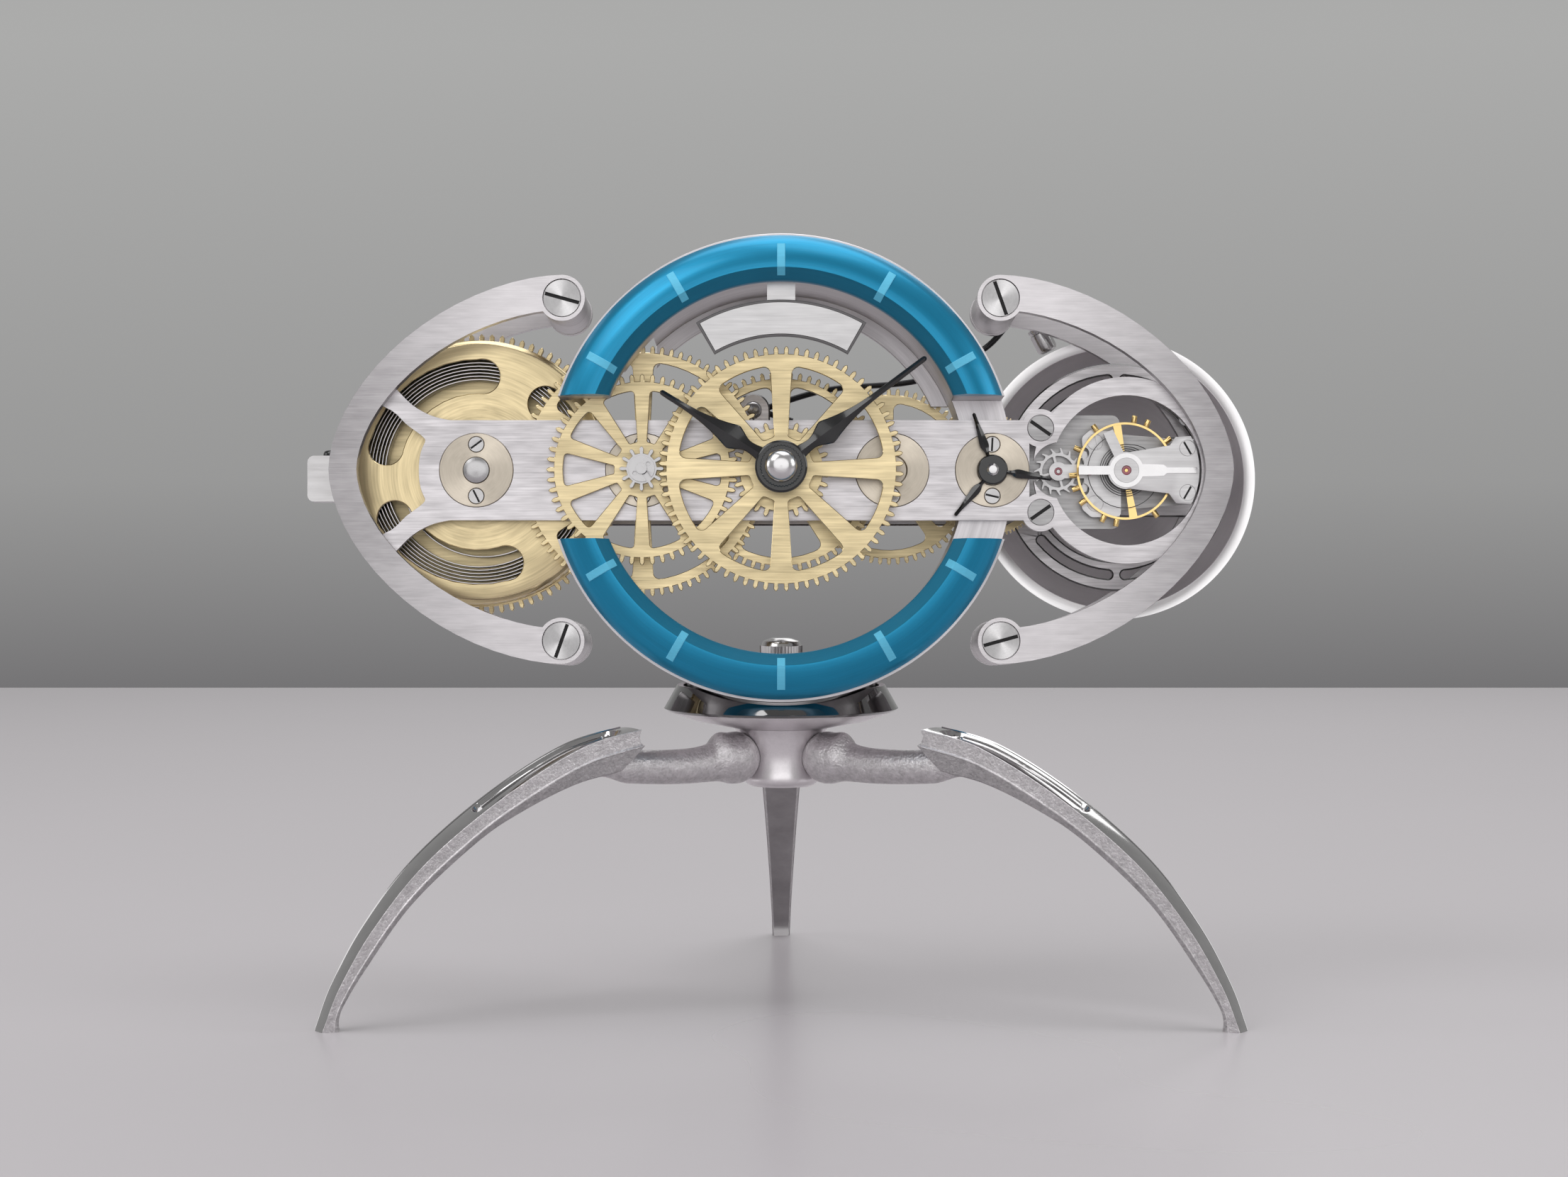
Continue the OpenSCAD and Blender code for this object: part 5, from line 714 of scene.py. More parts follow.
class CLOCK_OT_train(bpy.types.Operator):
    """Finish the wheels, the arbors, the barrel and its ratchet wheel and click"""

    bl_idname = "clock.train"
    bl_label = "Going train"

    def execute(self, context):
        s = context.scene.clock_sizes
        wheels = "intermediate_wheel centre_wheel third_wheel minute_wheel hour_wheel cannon_gear barrel_drum"
        arbors = "intermediate_arbor centre_arbor third_arbor fourth_arbor minute_pinion barrel_arbor"
        dress(wheels, "brass", "brass_edge", s.wheel_chamfer)
        dress("fourth_wheel", "brass", "brass_edge", s.wheel_chamfer * 0.5)
        dress("barrel_cover", "cover", "brass_edge", s.wheel_chamfer * 1.6)
        dress(arbors, "pivot", "pivot", s.small_chamfer * 0.6)
        dress("studs", "pivot", "pivot", s.small_chamfer * 0.5)
        dress("ratchet_wheel click", "satin", "chamfer", s.small_chamfer)
        return {"FINISHED"}


class CLOCK_OT_escapement(bpy.types.Operator):
    """Finish the platform, bridge, cock, regulator, escape wheel, pallet fork, balance and jewels"""

    bl_idname = "clock.escapement"
    bl_label = "Escapement"

    def execute(self, context):
        s = context.scene.clock_sizes
        # The platform, cock and bridge chamfers take the arm chamfer's painted dark reflection.
        dress("platform", "platform", "arm_edge", s.small_chamfer * 1.5)
        dress("balance_cock", "silver", "arm_edge", s.small_chamfer * 1.5)
        dress("escapement_bridge", "silver", "arm_edge", s.small_chamfer)
        dress("regulator", "dome", "dome", s.small_chamfer * 0.5)
        dress("escape_wheel", "pivot", "pivot", s.small_chamfer * 0.4)
        dress("pallet_fork", "pivot", "pivot", s.small_chamfer * 0.3)
        dress("balance_wheel", "gold", "gold", s.small_chamfer * 0.5)
        dress("balance_screws", "gold", "gold", s.small_chamfer * 1.4, segments=2)
        dress("jewels", "ruby", "ruby", s.small_chamfer * 0.8, segments=2)
        return {"FINISHED"}


class CLOCK_OT_crank(bpy.types.Operator):
    """Finish the winding crank, its black knobs, and the nut and cap over the hands"""

    bl_idname = "clock.crank"
    bl_label = "Winding crank"

    def execute(self, context):
        s = context.scene.clock_sizes
        dress("winding_crank", "silver", "chamfer", s.small_chamfer * 2)
        dress("crank_knobs", "black", "black", s.small_chamfer)
        dress("hand_nut", "black", "black", s.small_chamfer)
        dress("hand_cap", "dome", "dome", s.small_chamfer)
        return {"FINISHED"}


# Stand

LEG_TOP = [
    (0, 1), (0.191, 0.944), (0.441, 0.783), (0.679, 0.57), (0.841, 0.349), (0.94, 0.157),
    (0.985, 0.03), (0.994, 0),
]
LEG_UNDER = [
    (0, 0.869), (0.041, 0.855), (0.203, 0.816), (0.377, 0.729), (0.522, 0.627), (0.719, 0.427),
    (0.858, 0.214), (0.925, 0.092), (0.941, 0.04), (0.938, 0),
]
LEG_KNEE_R, LEG_END_R, LEG_TOP_Z = 43.4 * MM, 129.2 * MM, 70.2 * MM
BALL_R, BALL_PLACE_R, BALL_Z, NECK_R, NECK_DROP = 6.6 * MM, 13.7 * MM, 61.5 * MM, 4.2 * MM, 1.1 * MM

# Side points of a leg's ring: share of the half width, share of the facet's height. Then the knee end's
# shifts along the leg, in mm by share of the height.
LEG_SIDE = [(0.93, 0.015), (0.95, 0.05), (0.935, 0.5), (0.94, 0.93), (1, 1), (1, 1.05)]
LEG_LOWER = [(0.975, 0.08), (0.93, 0.5), (0.86, 0.94), (0.82, 1)]
KNEE_END = [(0, 0), (0.06, 0), (0.14, 0.45), (0.32, 0.5), (0.42, -0.1), (0.47, -0.95), (0.53, -0.5), (1, 5.4)]
SLOT_MIDDLE, SLOT_HALF, SLOT_WIDE, SLOT_EDGE = 0.275, 0.195, 0.70, 0.45 * MM
WIDTH_POWER, CROWN, SCOOP_REACH = 2.3, 0.06, 13 * MM


def leg_blade(width, foot_width, recess):
    """A leg's arched blade. Its rings run from knee to foot between the top line and the under line, paired
    by length. Its width falls with a power of the way out. Round a ring the points go over the crowned top
    face, down the upper facet to a ledge and down the lower facet, which slopes in, to the flat under face.
    The top face sinks inside a long slot with round ends. The knee's end is scooped: each point moves along
    the leg by an amount set by its share of the height, which fades along the blade."""
    span, stations = LEG_END_R - LEG_KNEE_R, np.linspace(0, 1, 260)
    top, under = (
        spaced(smooth_curve(line, 16) * [span, LEG_TOP_Z], stations) + [LEG_KNEE_R, 0]
        for line in (LEG_TOP, LEG_UNDER)
    )
    gone = top[:, :1] - LEG_KNEE_R
    run = np.clip(gone / span, 0, 1)
    half = (foot_width + (width - foot_width) * (1 - run**WIDTH_POWER)) / 2
    ledge = 0.45 + 0.22 * smoothstep(run / 0.6)
    across = np.array([0, 0.2, 0.38, 0.52, 0.60, 0.64, 0.67, 0.70, 0.74, 0.80, 0.87, 0.91])
    across = np.concatenate([-across[::-1], across[1:]])
    side, lower = np.array(LEG_SIDE), np.array(LEG_LOWER)
    face_y, side_y = (np.ones_like(run) * y for y in (across, np.concatenate([side[:, 0], lower[:, 0]])))
    side_f = np.concatenate([ledge * side[:, 1], ledge + (1 - ledge) * lower[:, 1]], 1)
    y = np.concatenate([face_y, side_y, -side_y[:, ::-1]], 1) * half
    down = under - top
    height = np.linalg.norm(down, axis=1)[:, None]
    beyond = np.maximum(np.abs(run - SLOT_MIDDLE) - SLOT_HALF, 0) * span * 1.15
    inside = SLOT_WIDE * half - np.hypot(face_y * half, beyond)
    sink = recess * smoothstep(inside / SLOT_EDGE)
    face_f = (sink + CROWN * half * across**2) / height
    f = np.concatenate([face_f, side_f, side_f[:, ::-1]], 1)
    share, shift = np.array(KNEE_END).T
    scoop = MM * np.interp(f, share, shift) * (1 - smoothstep(gone / SCOOP_REACH))
    scoop[:, : len(across)] = 0
    along = np.gradient(top, axis=0)
    along /= np.linalg.norm(along, axis=1)[:, None]
    out, up = (top[:, None, k] + f * down[:, None, k] + scoop * along[:, None, k] for k in (0, 1))
    columns = np.zeros(f.shape[1], int)
    columns[: len(across)] = 1
    columns[-1] = 1
    ledge_at = len(across) + len(LEG_SIDE) - 1
    under_at = ledge_at + len(LEG_LOWER)
    # The lower facets take the darker cast copy, painted shade.
    columns[ledge_at : 2 * under_at - ledge_at + 1] = 3
    columns[under_at] = 2
    return np.stack([out, y, up], -1), columns


def leg_neck():
    """A leg's ball end and round neck as one skin. Its upper and lower lines are the larger of the ball's
    circle and the neck's straight line, with the corner between them rounded more the farther it is from the
    ball's middle, and the rings are ellipses between the two lines."""
    end = LEG_KNEE_R + 8.5 * MM
    front = BALL_PLACE_R - BALL_R * np.cos(np.linspace(0, np.pi / 2, 14))
    rho = np.concatenate([front, np.linspace(BALL_PLACE_R, end, 60)[1:]])
    away = rho - BALL_PLACE_R
    ball = np.sqrt(np.maximum(BALL_R**2 - away**2, 0)) - 2.0 * np.maximum(away - BALL_R, 0)
    past = smoothstep(away / (5 * MM))
    neck = np.where(away > 0, NECK_R, 0) * (1 - 0.5 * smoothstep((rho - LEG_KNEE_R) / (9 * MM)))
    sag = 0.7 * MM * np.sin(np.clip(away / (LEG_KNEE_R - BALL_PLACE_R), 0, 1) * np.pi)
    beyond = away > 0
    upper = np.where(beyond, smooth_max(ball, neck - NECK_DROP, 5.5 * MM * past), ball) - sag
    lower = np.where(beyond, -smooth_max(ball, neck + NECK_DROP, 0.9 * MM * past), -ball) - sag
    wide = np.where(beyond, smooth_max(ball, neck, 2.6 * MM * past), ball)[:, None]
    a = 2 * np.pi * np.arange(40) / 40
    middle, tall = BALL_Z + (upper + lower)[:, None] / 2, (upper - lower)[:, None] / 2
    return np.stack([rho[:, None] + 0 * a, wide * np.cos(a), middle + tall * np.sin(a)], -1)


class CLOCK_OT_legs(bpy.types.Operator):
    """Build the three cast legs, each with a polished recessed top, a ledge along its sides and a ball end"""

    bl_idname = "clock.legs"
    bl_label = "Legs"

    def execute(self, context):
        s = context.scene.clock_sizes
        blade, columns = leg_blade(s.leg_width, s.leg_foot_width, s.leg_recess)
        neck, finishes = leg_neck(), "cast mirror under cast_low"
        for name, angle in (("leg_front_left", 210), ("leg_front_right", 330), ("leg_rear", 90)):
            turn = math.radians(angle)
            parts = loft(on_stand(blade, turn), columns) + loft(on_stand(neck, turn))
            make(f"{name}_casting", parts, "frame", finishes, [name], sharp=26)
        return {"FINISHED"}


class CLOCK_OT_cup(bpy.types.Operator):
    """Build the polished cup with its flared lip and a rim hollowed to seat the body ring"""

    bl_idname = "clock.cup"
    bl_label = "Cup"

    def execute(self, context):
        bore, floor, lip, rim, lip_z, rim_z = (MM * v for v in (3.05, 72.0, 29.8, 26.4, 73.67, 79.6))
        under = [(3.05, 68.62), (11.9, 68.62), (14.5, 69.15), (21.6, 70.6), (28.9, 73.0)]
        under_r, under_z = MM * np.array(under).T
        inner_r = MM * np.array([25.3, 24.9, 24.8])
        ring_reach, ring_rear, rear_fade = 59.0 * MM, 30.3 * MM, 0.8 * MM
        steps = 360
        a = 2 * np.pi * np.arange(steps)[:, None] / steps
        drop = np.sqrt(ring_reach**2 - (rim * np.cos(a)) ** 2)
        depth = (HUB_Y + rim * np.sin(a) - BODY_Y + drop * math.sin(TILT)) / math.cos(TILT)
        saddle = AXIS_Z - depth * math.sin(TILT) - drop * math.cos(TILT)
        crest = np.minimum(rim_z, saddle + (rim_z - saddle) * smoothstep((depth - ring_rear) / rear_fade))
        out_share, up_share = np.array([(0, 0), (0.04, 0.03), (0.5, 0.5), (0.97, 0.98), (1, 1)]).T
        outer_r = lip + (rim - lip) * out_share * (crest - lip_z) / (rim_z - lip_z)
        level = lip_z + (crest - lip_z) * np.append(up_share, [1, 0.98])
        around = np.ones_like(a)
        r = np.hstack([under_r * around, outer_r, inner_r * around, bore * around])
        z = np.hstack([under_z * around, level, floor * around, floor * around])
        points = np.stack([r * np.cos(a), r * np.sin(a), z], -1)
        # The lip, outer wall, rim and inner wall take the cup finish, a painted dark reflection; the underside,
        # floor and bore take the lighter hub satin, standing in for the pale table's reflection.
        columns = [0] * 4 + [1] * 8 + [0] * 2
        parts = [surface(on_stand(points), round_rows=True, round_cols=True, columns=columns)]
        make("cup_turning", parts, "frame", "hub cup", ["stand_cup"], sharp=40)
        return {"FINISHED"}


# Dial

DIAL_REAR, DIAL_EDGE, DIAL_RIDGE = -12.2 * MM, 3.6 * MM, 7.6 * MM
DIAL_R, DIAL_RIDGE_R, DIAL_BORE_R, SIDE_GAP = 57.7 * MM, 49.3 * MM, 46.3 * MM, 17.8 * MM


def dial_front(r, crown):
    """Depth of the dial ring's front at a radius: straight bevels to the ridge, and on the outer one a crown
    of a half sine's height, with the outermost edge rolled off."""
    outer = np.clip((r - DIAL_RIDGE_R) / (DIAL_R - DIAL_RIDGE_R), 0, 1)
    inner = np.clip((DIAL_RIDGE_R - r) / (DIAL_RIDGE_R - DIAL_BORE_R), 0, 1)
    drop = (DIAL_RIDGE - DIAL_EDGE) * np.where(r > DIAL_RIDGE_R, outer, inner)
    rolled = 1.3 * MM * np.clip((outer - 0.72) / 0.28, 0, 1) ** 2.5
    return DIAL_REAR - DIAL_RIDGE + drop - crown * np.sin(np.pi * outer**0.9) + rolled


class CLOCK_OT_dial(bpy.types.Operator):
    """Build the two blue arcs of the dial ring and the hour markers on them"""

    bl_idname = "clock.dial"
    bl_label = "Dial ring"

    def execute(self, context):
        s = context.scene.clock_sizes
        bevel = np.linspace(DIAL_BORE_R + 0.15 * MM, DIAL_RIDGE_R - 0.12 * MM, 7)
        r = np.concatenate([[DIAL_BORE_R], bevel, np.linspace(DIAL_RIDGE_R, DIAL_R, 34)])
        depth = dial_front(r, s.dial_crown)
        depth[0] += 0.2 * MM
        r, depth = np.append(r, [DIAL_R, DIAL_BORE_R]), np.append(depth, [DIAL_REAR, DIAL_REAR])
        # The inner bevel and the bore's wall take the darker blue, painted shade.
        columns = np.zeros(len(r), int)
        columns[: len(bevel)] = 1
        columns[-1] = 1
        start = np.arcsin((SIDE_GAP + 0.02 * MM) / r)
        t = np.linspace(0, 1, 150)[:, None]
        parts = []
        for side in (0, math.pi):
            a = side + start + (math.pi - 2 * start) * t
            parts += loft(across_body(r * np.cos(a), depth, r * np.sin(a)), columns)
        make("dial_arcs", parts, "frame", "blue blue_deep", ["dial_ring"], sharp=24)
        strip_r = np.concatenate([np.linspace(47.4, 49.2, 5), np.linspace(49.3, 55.3, 12)]) * MM
        face = dial_front(strip_r, s.dial_crown)[:, None]
        aside, up = np.array([(-1, 0), (-1, 0.75), (-0.9, 1), (0.9, 1), (1, 0.75), (1, 0)]).T
        sunk, proud = 0.15 * MM, 0.28 * MM
        level = face + sunk - (sunk + proud) * up
        wide = aside * s.marker_width / 2
        marks = []
        for hour in (1, 2, 4, 5, 6, 7, 8, 10, 11, 12):
            a = math.radians(90 - 30 * hour)
            c, n = math.cos(a), math.sin(a)
            x, z = strip_r[:, None] * c - wide * n, strip_r[:, None] * n + wide * c
            marks += loft(across_body(x, level, z))
        make("hour_bars", marks, "frame", "pale_blue", ["hour_markers"], sharp=24)
        return {"FINISHED"}


class CLOCK_OT_name_plate(bpy.types.Operator):
    """Build the bare silver plate under the dial's top, with a thin sunk line round it in painted dark
    reflection
    """

    bl_idname = "clock.name_plate"
    bl_label = "Name plate"

    def execute(self, context):
        s = context.scene.clock_sizes
        inner, outer, half = 32.8 * MM, 42 * MM, math.radians(30.4)
        front, rear, corner = -11.2 * MM, -10.0 * MM, 0.12 * MM
        ramp = np.array([0, corner, s.plate_border - corner, s.plate_border, s.plate_border + 0.1 * MM])
        middle = (inner + outer) / 2
        reach = half * middle
        across, along = (
            np.concatenate([a + ramp, np.linspace(a + ramp[-1], b - ramp[-1], steps)[1:-1], b - ramp[::-1]])
            for a, b, steps in ((inner, outer, 6), (-reach, reach, 60))
        )
        r, a = np.meshgrid(across, along / middle, indexing="ij")
        edge = np.minimum(np.minimum(r - inner, outer - r), (half - np.abs(a)) * middle)
        level = front + np.interp(edge, ramp, [s.plate_relief * 1.2, s.plate_relief, s.plate_relief, 0, 0])
        face = np.stack([r * np.sin(a), level, r * np.cos(a)], -1)
        flat = face.copy()
        flat[..., 1] = rear
        # The border faces take the painted dark reflection.
        border = (edge[:-1, :-1] + edge[1:, 1:] + edge[1:, :-1] + edge[:-1, 1:]) / 4 < s.plate_border
        points, faces, _ = surface(in_body(face))
        parts = [(points, faces, border.reshape(-1).astype(int)), surface(in_body(flat))]
        rim = np.concatenate([face[0], face[1:, -1], face[-1, -2::-1], face[-2:0:-1, 0]])
        wall = np.stack([rim, rim], 1)
        wall[:, 1, 1] = rear
        parts.append(surface(in_body(wall), round_rows=True, columns=[1]))
        tab = corners_rounded(MM * np.array([(-3.5, 33.8), (3.5, 33.8), (3.5, 46.3), (-3.5, 46.3)]), 0.1 * MM)
        rings = np.stack([np.insert(tab, 1, depth, axis=1) for depth in (rear - 0.7 * MM, rear - 0.02 * MM)])
        parts += loft(in_body(rings))
        make("name_plate_bare", parts, "frame", "silver border", ["name_plate"], sharp=20)
        return {"FINISHED"}


# Hands

HAND_KEYS = [
    (4.9, 2.0), (8.4, 1.4), (10.4, 1.55), (12.6, 2.6), (13.8, 3.15), (14.8, 3.05), (17, 2.4), (20, 1.7),
    (24, 1.1), (28.5, 0.78),
]


def hand_blade(reach, tip, x, turn, front, rear, edge, keys):
    """A hand's blade: rings across it at stations along its length. Each ring is a low roof, flat behind,
    with its ridge at the front over the middle line and its sides falling to thin edges. The half width
    follows a smooth curve through the keys (distance, half width) and then runs straight to the tip."""
    point = [(reach - tip, tip * 1.05), (reach - 0.35 * tip, tip * 0.8), (reach, tip * 0.2)]
    out, half = np.vstack([smooth_curve(keys, 6), point]).T[..., None]
    brim = 0.42
    roof = [(-1, brim), (-0.9, 0.60), (-0.45, 0.80), (0, 1), (0.45, 0.80), (0.9, 0.60), (1, brim)]
    share, height = np.array([(-1, 0), *roof, (1, 0)]).T
    thin = rear - front
    lift = np.where(height > 0, edge / thin + (1 - edge / thin) * (height - brim) / (1 - brim), 0)
    c, n, aside = math.cos(turn), math.sin(turn), half * share
    return loft(across_body(x + out * c - aside * n, rear - thin * lift, out * n + aside * c))


def hand_ring(radius, bore, x, front, rear):
    """A hand's boss: a flat ring with its front edges rounded."""
    shoulder = front + 0.25 * (rear - front)
    corners = [(bore, rear), (radius, rear), (radius, shoulder), (radius * 0.93, front), (bore, front)]
    return turned(corners_rounded(corners, 0.12 * MM), x, steps=72)


class CLOCK_OT_hands(bpy.types.Operator):
    """Build the black hour, minute and seconds hands with their raised ridges"""

    bl_idname = "clock.hands"
    bl_label = "Hands"

    def execute(self, context):
        s, keys = context.scene.clock_sizes, MM * np.array(HAND_KEYS)
        for name, angle, reach, front, bore in (
            ("hour_hand", 58, 35.4, -16.6, 3.32), ("minute_hand", -53, 45.0, -18.6, 2.32),
        ):
            front, rear, turn = front * MM, (front + 1.2) * MM, math.radians(90 + angle)
            parts = hand_blade(reach * MM, 0.65 * MM, 0, turn, front, rear, s.hand_edge, keys)
            parts += hand_ring(6.5 * MM, bore * MM, 0, front, rear)
            make(f"{name}_blued", parts, body_of(name), "black", [name], sharp=22)
        front, rear = -3.2 * MM, -2.2 * MM
        arm = MM * np.array([(2.25, 0.56), (4.5, 0.51), (6.4, 1.12), (9.0, 0.9), (12.75, 0.47)])
        dome = MM * np.array([(0, -4.3), (1.0, -4.2), (1.5, -3.7), (1.6, -3.0), (0, -3.0)])
        parts = hand_ring(3.75 * MM, 0.92 * MM, FOURTH_X, front, rear)
        parts += [(points, faces, used + 1) for points, faces, used in turned(dome, FOURTH_X, steps=40)]
        for angle in (108.7, -9.2, 230.5):
            turn = math.radians(angle)
            parts += hand_blade(15 * MM, 0.45 * MM, FOURTH_X, turn, front, rear, s.hand_edge, arm)
        name = "seconds_hand"
        make(f"{name}_blued", parts, body_of(name), "black dome", [name], sharp=22)
        return {"FINISHED"}


# Springs


def ribbon(radii, angles, x, middle, thick, wide):
    """A flat strip wound along a spiral of radii in mm: at each angle its small rounded section stands across
    the radius, as wide as the strip along the depth. The strip's two edges have the second finish."""
    corner = [(1, -0.9), (1, 0.9), (0.6, 1), (-0.6, 1)]
    across, aside = np.array(corner + [(-u, -v) for u, v in corner]).T
    r, a = MM * radii[:, None] + across * thick / 2, angles[:, None]
    rings = across_body(x + r * np.cos(a), middle + aside * wide / 2, r * np.sin(a))
    return loft(rings, columns=[0, 1, 1, 1] * 2)


class CLOCK_OT_springs(bpy.types.Operator):
    """Build the wound mainspring and the fine hairspring"""

    bl_idname = "clock.springs"
    bl_label = "Springs"

    def execute(self, context):
        inner, pitch, core, cross, wound, outer = 4.84, 0.85, 3, 2, 8, 30.2
        turn = np.arange(0, core + cross + wound + 1e-9, 1 / 72)
        stops = [0, core, core + cross, core + cross + wound]
        radii = np.interp(turn, stops, [inner, inner + pitch * core, outer - pitch * wound, outer])
        # The mainspring's faces take painted shade and its edges a painted highlight.
        parts = ribbon(radii, 2 * np.pi * turn, BARREL_X, 14 * MM, 0.30 * MM, 7.5 * MM)
        name = "mainspring"
        make(f"{name}_coil", parts, body_of(name), "spring spring_edge", [name], sharp=50)
        inner, pitch, turns, rise, last, outer = 2.0, 0.55, 8.5, 0.65, 0.25, 9.6
        turn = np.linspace(0, turns + rise + last, 660)
        end = inner + pitch * turns
        t = np.clip((turn - turns) / rise, 0, 1)
        radii = np.where(turn < turns, inner + pitch * turn, end + (outer - end) * t * (2 - t))
        angles = math.radians(115) + 2 * np.pi * (turn[-1] - turn)
        parts = ribbon(radii, angles, BALANCE_X, 2.82 * MM, 0.16 * MM, 0.6 * MM)
        name = "hairspring"
        make(f"{name}_coil", parts, body_of(name), "hair hair", [name], sharp=50)
        return {"FINISHED"}


# Strike


def wire(path, depth, radius, steps=14):
    """A round wire along a flat path: circles that stand square to it, between its own direction's side step
    and the depth."""
    p = np.asarray(path, float)
    along = np.gradient(p, axis=0)
    along /= np.linalg.norm(along, axis=1)[:, None]
    a = 2 * np.pi * np.arange(steps) / steps
    aside, level = radius * np.cos(a), depth + radius * np.sin(a)
    return loft(across_body(p[:, :1] - aside * along[:, 1:], level, p[:, 1:] + aside * along[:, :1]))


def turned_along(profile, start, direction, depth, steps=48):
    """A body of revolution about a line across the body: points [radius, distance] from a start point."""
    r, out = np.asarray(profile, float).T
    a = 2 * np.pi * np.arange(steps)[:, None] / steps
    dx, dz = direction
    aside, level = r * np.cos(a), depth + r * np.sin(a)
    points = across_body(start[0] + out * dx - aside * dz, level, start[1] + out * dz + aside * dx)
    return [surface(points, round_rows=True, round_cols=True)]


def bell_parts():
    """The bell's shell with a painted highlight on its lip and painted light on its dull inside, its nut, the
    post and the sleeve under it.
    """
    mouth, tall, wall, lip_wall, front, lip_highlight_depth = 36.79, 22.5, 1.8, 2.9, 41.5, 2.6
    back = front + tall
    shape = np.array([(1, 0), (0.995, 0.12), (0.95, 0.4), (0.8, 0.68), (0.52, 0.88), (0.2, 0.99), (0.085, 1)])
    outer = smooth_curve(shape * [mouth, tall], 10) + [0, front]
    inner = smooth_curve(shape[::-1] * [mouth - lip_wall, tall - wall], 10) + [0, front]
    inner[0, 0], outer[-1, 0] = 3.06, 3.06
    section = MM * np.vstack([outer, inner[:-1], [(mouth - lip_wall + 0.2, front + 0.05)]])
    # The lip's front band takes the painted highlight, the inside the painted light.
    columns = (section[:, 1] < (front + lip_highlight_depth) * MM).astype(int)
    columns[len(outer) : len(section) - 1] = 2
    nut = smooth_curve([(0, back + 4), (2.6, back + 3.6), (4.6, back + 2), (4.8, back + 0.1)], 6)
    post = [(0, 33.02), (2.9, 33.02), (3.0, 33.3), (3.0, back + 1), (0, back + 1)]
    under = back - wall - 0.3
    sleeve = corners_rounded([(3.05, 40.05), (5.0, 40.05), (5.0, under), (3.05, under)], 0.25)
    parts = turned(section, BALANCE_X, steps=160, columns=columns)
    for profile in (np.vstack([nut, [(0, back + 0.1)]]), post, sleeve):
        parts += turned(MM * np.asarray(profile), BALANCE_X, steps=64)
    return parts


class CLOCK_OT_strike(bpy.types.Operator):
    """Build the shallow bell on its post, the hammer's wire arm and the hammer's head"""

    bl_idname = "clock.strike"
    bl_label = "Strike"

    def execute(self, context):
        s = context.scene.clock_sizes
        finishes = "bell bell_rim bell_inside"
        make("bell_shell", bell_parts(), "frame", finishes, ["bell"], sharp=35)
        pivot, depth = MM * np.array([-7.3, 17.4]), 44.5 * MM
        angle = math.radians(116.7)
        direction = np.array([math.cos(angle), math.sin(angle)])
        start, end = (direction * away * MM + [BALANCE_X, 0] for away in (37.4, 45.22))
        keys = np.array([(0.136, 0.269), (0.414, 0.298), (0.603, 0.387), (0.689, 0.472), (0.742, 0.512)])
        parts = wire(smooth_curve(np.vstack([pivot, keys * BALANCE_X, end]), 10), depth, s.hammer_wire)
        parts += wire(np.linspace(pivot + 0.8 * MM, (3.0 * MM, 15.2 * MM), 6), depth, s.hammer_wire)
        boss = MM * corners_rounded([(1.47, 42.5), (3.2, 42.5), (3.2, 46.5), (1.47, 46.5)], 0.3)
        parts += turned(boss, *pivot, steps=48)
        name = "hammer_arm"
        make("hammer_wire", parts, body_of(name), "blackened", [name], sharp=35)
        profile = MM * np.array([
            (0, 0), (1.7, 0), (2.4, 0.35), (2.7, 1.1), (2.7, 5.2), (2.45, 5.5), (2.45, 5.8), (2.7, 6.1),
            (2.6, 6.8), (2.2, 7.0), (0, 7.0),
        ])
        parts, name = turned_along(profile, start, direction, depth), "hammer_head"
        make("hammer_striker", parts, body_of(name), "polished", [name], sharp=30)
        return {"FINISHED"}


# Stage

CAMERA_AWAY, CAMERA_Z, CAMERA_DOWN = 1.107, 0.1525, math.radians(2.507)


def table_material(tone):
    """A smooth, pale table top with a soft reflection, whose gloss changes slowly from place to place."""
    material = bpy.data.materials.new("table_top")
    material.use_nodes = True
    tree = material.node_tree
    cloud = noise(tree, node(tree, "TexCoord", {})["Object"], 2.5)
    look = {"Base Color": (*tone, 1), "IOR": 1.33, "Roughness": spread(tree, cloud, 0.3, 0.7, 0.24, 0.28)}
    feed(tree, tree.nodes["Principled BSDF"], look)
    return material


def panel(name, place, aim, size, power, tall=None):
    """A soft lamp panel that faces a point."""
    lamp = bpy.data.lights.new(name, "AREA")
    lamp.shape, lamp.size, lamp.size_y = "RECTANGLE", size, tall or size
    lamp.energy = power
    holder = bpy.data.objects.new(name, lamp)
    bpy.context.scene.collection.objects.link(holder)
    x, y, z = np.asarray(aim, float) - np.asarray(place, float)
    holder.location = place
    holder.rotation_euler = (math.atan2(math.hypot(x, y), -z), 0, math.pi + math.atan2(x, -y))


def backdrop(low, high):
    """A world that fades with height from the low tone at the table, through two steps, to the high tone, and
    a little darker overhead."""
    world = bpy.data.worlds.new("studio")
    bpy.context.scene.world = world
    world.use_nodes = True
    tree = world.node_tree
    up = parts_of(tree, node(tree, "TexCoord", {})["Generated"])["Z"]
    lowest, highest = math.sin(math.radians(-4)), math.sin(math.radians(60))
    ramp = tree.nodes.new("ShaderNodeValToRGB")
    stops = ramp.color_ramp.elements
    stops[0].position, stops[0].color = 0.0, (*low, 1)
    stops[1].position, stops[1].color = 1.0, (*times(high, 0.75), 1)
    for place, share in ((0.055, 0.62), (0.16, 1)):
        stops.new(place).color = (*(share * h + (1 - share) * l for h, l in zip(high, low)), 1)
    feed(tree, ramp, {"Fac": spread(tree, up, lowest, highest)})
    feed(tree, tree.nodes["Background"], {"Color": ramp.outputs["Color"], "Strength": 1.0})


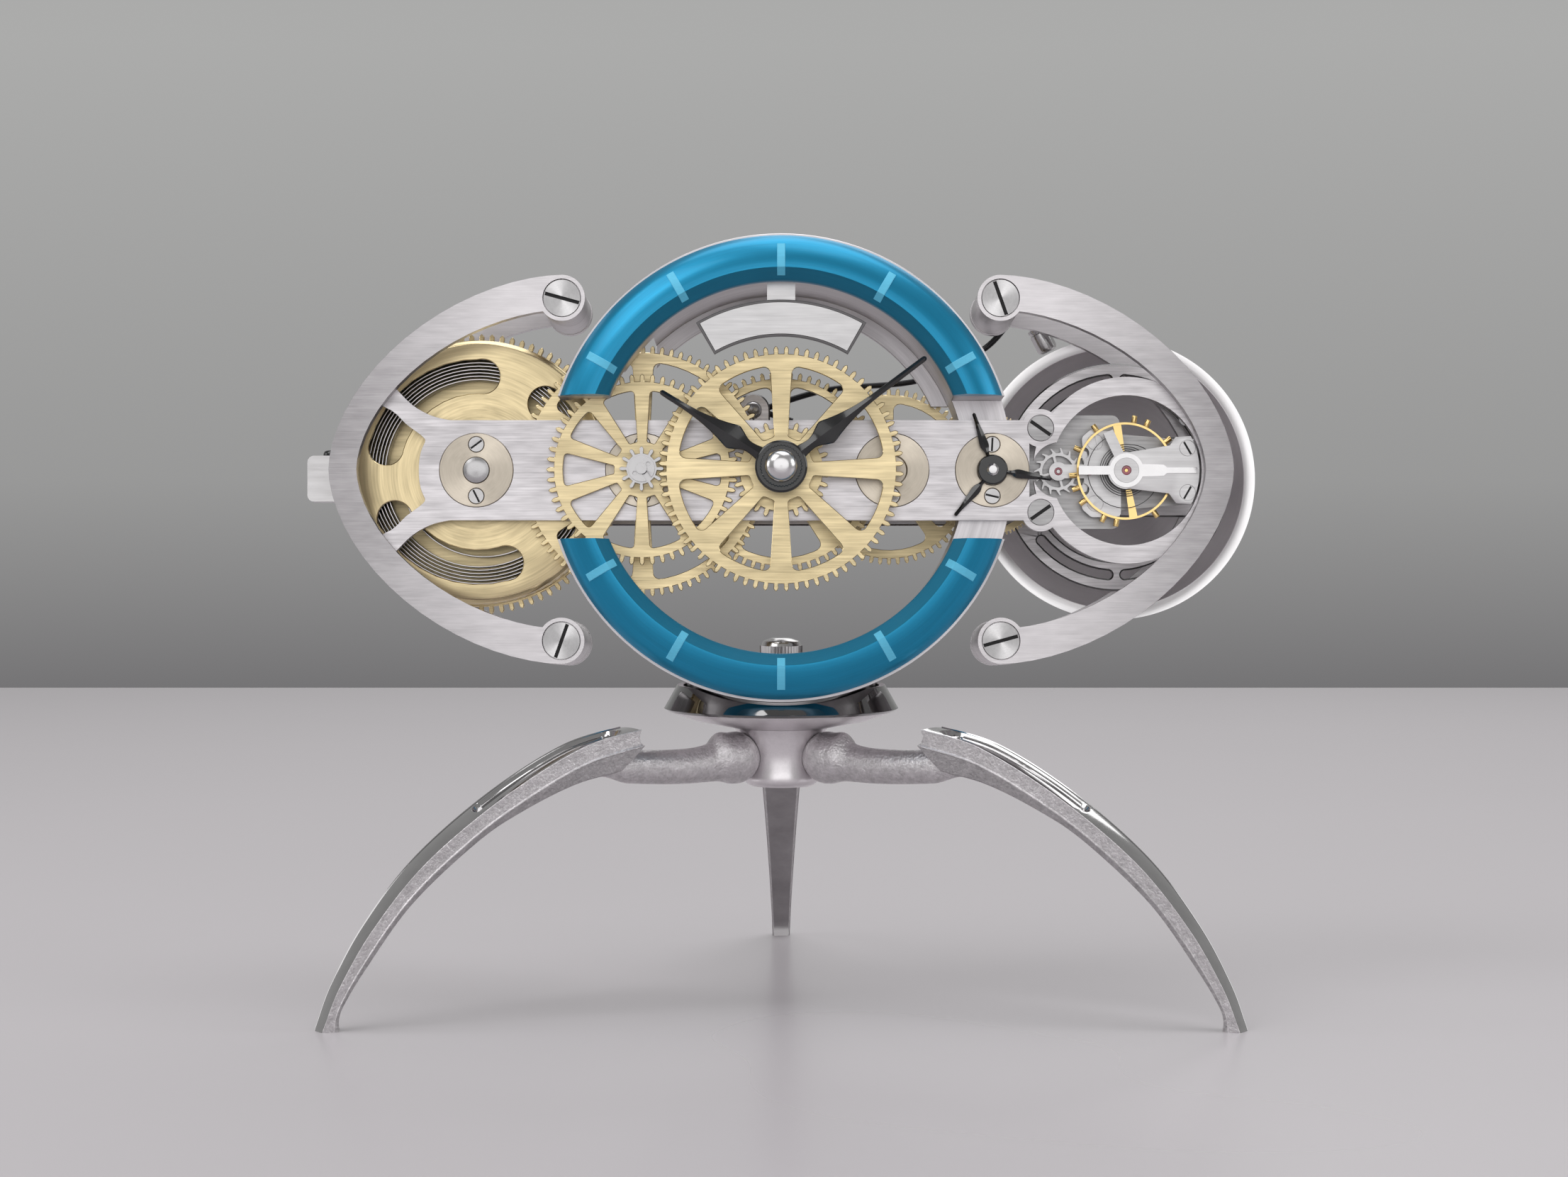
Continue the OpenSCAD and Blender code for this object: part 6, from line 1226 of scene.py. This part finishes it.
class CLOCK_OT_stage(bpy.types.Operator):
    """Lay the pale table, the grey backdrop and the soft lamps, and set the camera"""

    bl_idname = "clock.stage"
    bl_label = "Stage"

    def execute(self, context):
        c = context.scene.clock_colours
        x, y = np.meshgrid(np.linspace(-4, 4, 9), np.linspace(-4, 1.15, 9), indexing="ij")
        points, faces, _ = surface(np.stack([x, y, 0 * x], -1))
        mesh = bpy.data.meshes.new("table")
        mesh.from_pydata(points.tolist(), [], faces[:, ::-1].tolist())
        mesh.materials.append(table_material(tuple(c.floor)))
        table = bpy.data.objects.new("table", mesh)
        context.scene.collection.objects.link(table)
        backdrop(tuple(c.backdrop_low), tuple(c.backdrop_high))
        body = (0, 0, 0.12)
        panel("key_panel", (-0.75, -0.70, 1.15), body, 0.8, 6)
        panel("front_panel", (0.0, -2.0, 0.62), (0, 0, 0.13), 2.4, 10, tall=1.2)
        panel("top_panel", (0.1, 0.1, 1.6), (0, 0, 0.1), 1.5, 13, tall=1.1)
        panel("right_panel", (1.2, -0.35, 0.5), body, 0.6, 2.6)
        panel("left_panel", (-1.2, -0.1, 0.35), body, 0.5, 1.8)
        panel("rear_panel", (0.25, 1.05, 0.9), body, 0.8, 3.5)
        lens = bpy.data.cameras.new("camera")
        lens.lens, lens.sensor_width, lens.shift_x = 100, 36, 4 / 2212
        lens.clip_start, lens.clip_end = 0.01, 50
        camera = bpy.data.objects.new("camera", lens)
        context.scene.collection.objects.link(camera)
        camera.location = (0, HUB_Y - CAMERA_AWAY, CAMERA_Z)
        camera.rotation_euler = (math.radians(90) - CAMERA_DOWN, 0, 0)
        context.scene.camera = camera
        context.scene.view_settings.view_transform = "Standard"
        return {"FINISHED"}


class CLOCK_PT_panel(bpy.types.Panel):
    """Lists the clock's operators, sizes and colours"""

    bl_label = "Skeleton clock"
    bl_idname = "CLOCK_PT_panel"
    bl_space_type = "VIEW_3D"
    bl_region_type = "UI"
    bl_category = "Clock"

    def draw(self, context):
        for operator in OPERATORS:
            self.layout.operator(operator.bl_idname)
        for group in (context.scene.clock_sizes, context.scene.clock_colours):
            box = self.layout.box()
            for name in group.bl_rna.properties.keys():
                if name not in ("rna_type", "name"):
                    box.prop(group, name)


OPERATORS = (
    CLOCK_OT_stage, CLOCK_OT_case, CLOCK_OT_cup, CLOCK_OT_legs, CLOCK_OT_plates, CLOCK_OT_slots,
    CLOCK_OT_arms, CLOCK_OT_dial, CLOCK_OT_name_plate, CLOCK_OT_train, CLOCK_OT_springs,
    CLOCK_OT_escapement, CLOCK_OT_hands, CLOCK_OT_crank, CLOCK_OT_strike,
)
CLASSES = (ClockSizes, ClockColours, *OPERATORS, CLOCK_PT_panel)


def register():
    for cls in CLASSES:
        bpy.utils.register_class(cls)
    bpy.types.Scene.clock_sizes = bpy.props.PointerProperty(type=ClockSizes)
    bpy.types.Scene.clock_colours = bpy.props.PointerProperty(type=ClockColours)


def unregister():
    del bpy.types.Scene.clock_colours
    del bpy.types.Scene.clock_sizes
    for cls in reversed(CLASSES):
        bpy.utils.unregister_class(cls)


def main():
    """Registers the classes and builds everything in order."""
    register()
    for operator in OPERATORS:
        area, name = operator.bl_idname.split(".")
        getattr(getattr(bpy.ops, area), name)()


if __name__ == "__main__":
    main()
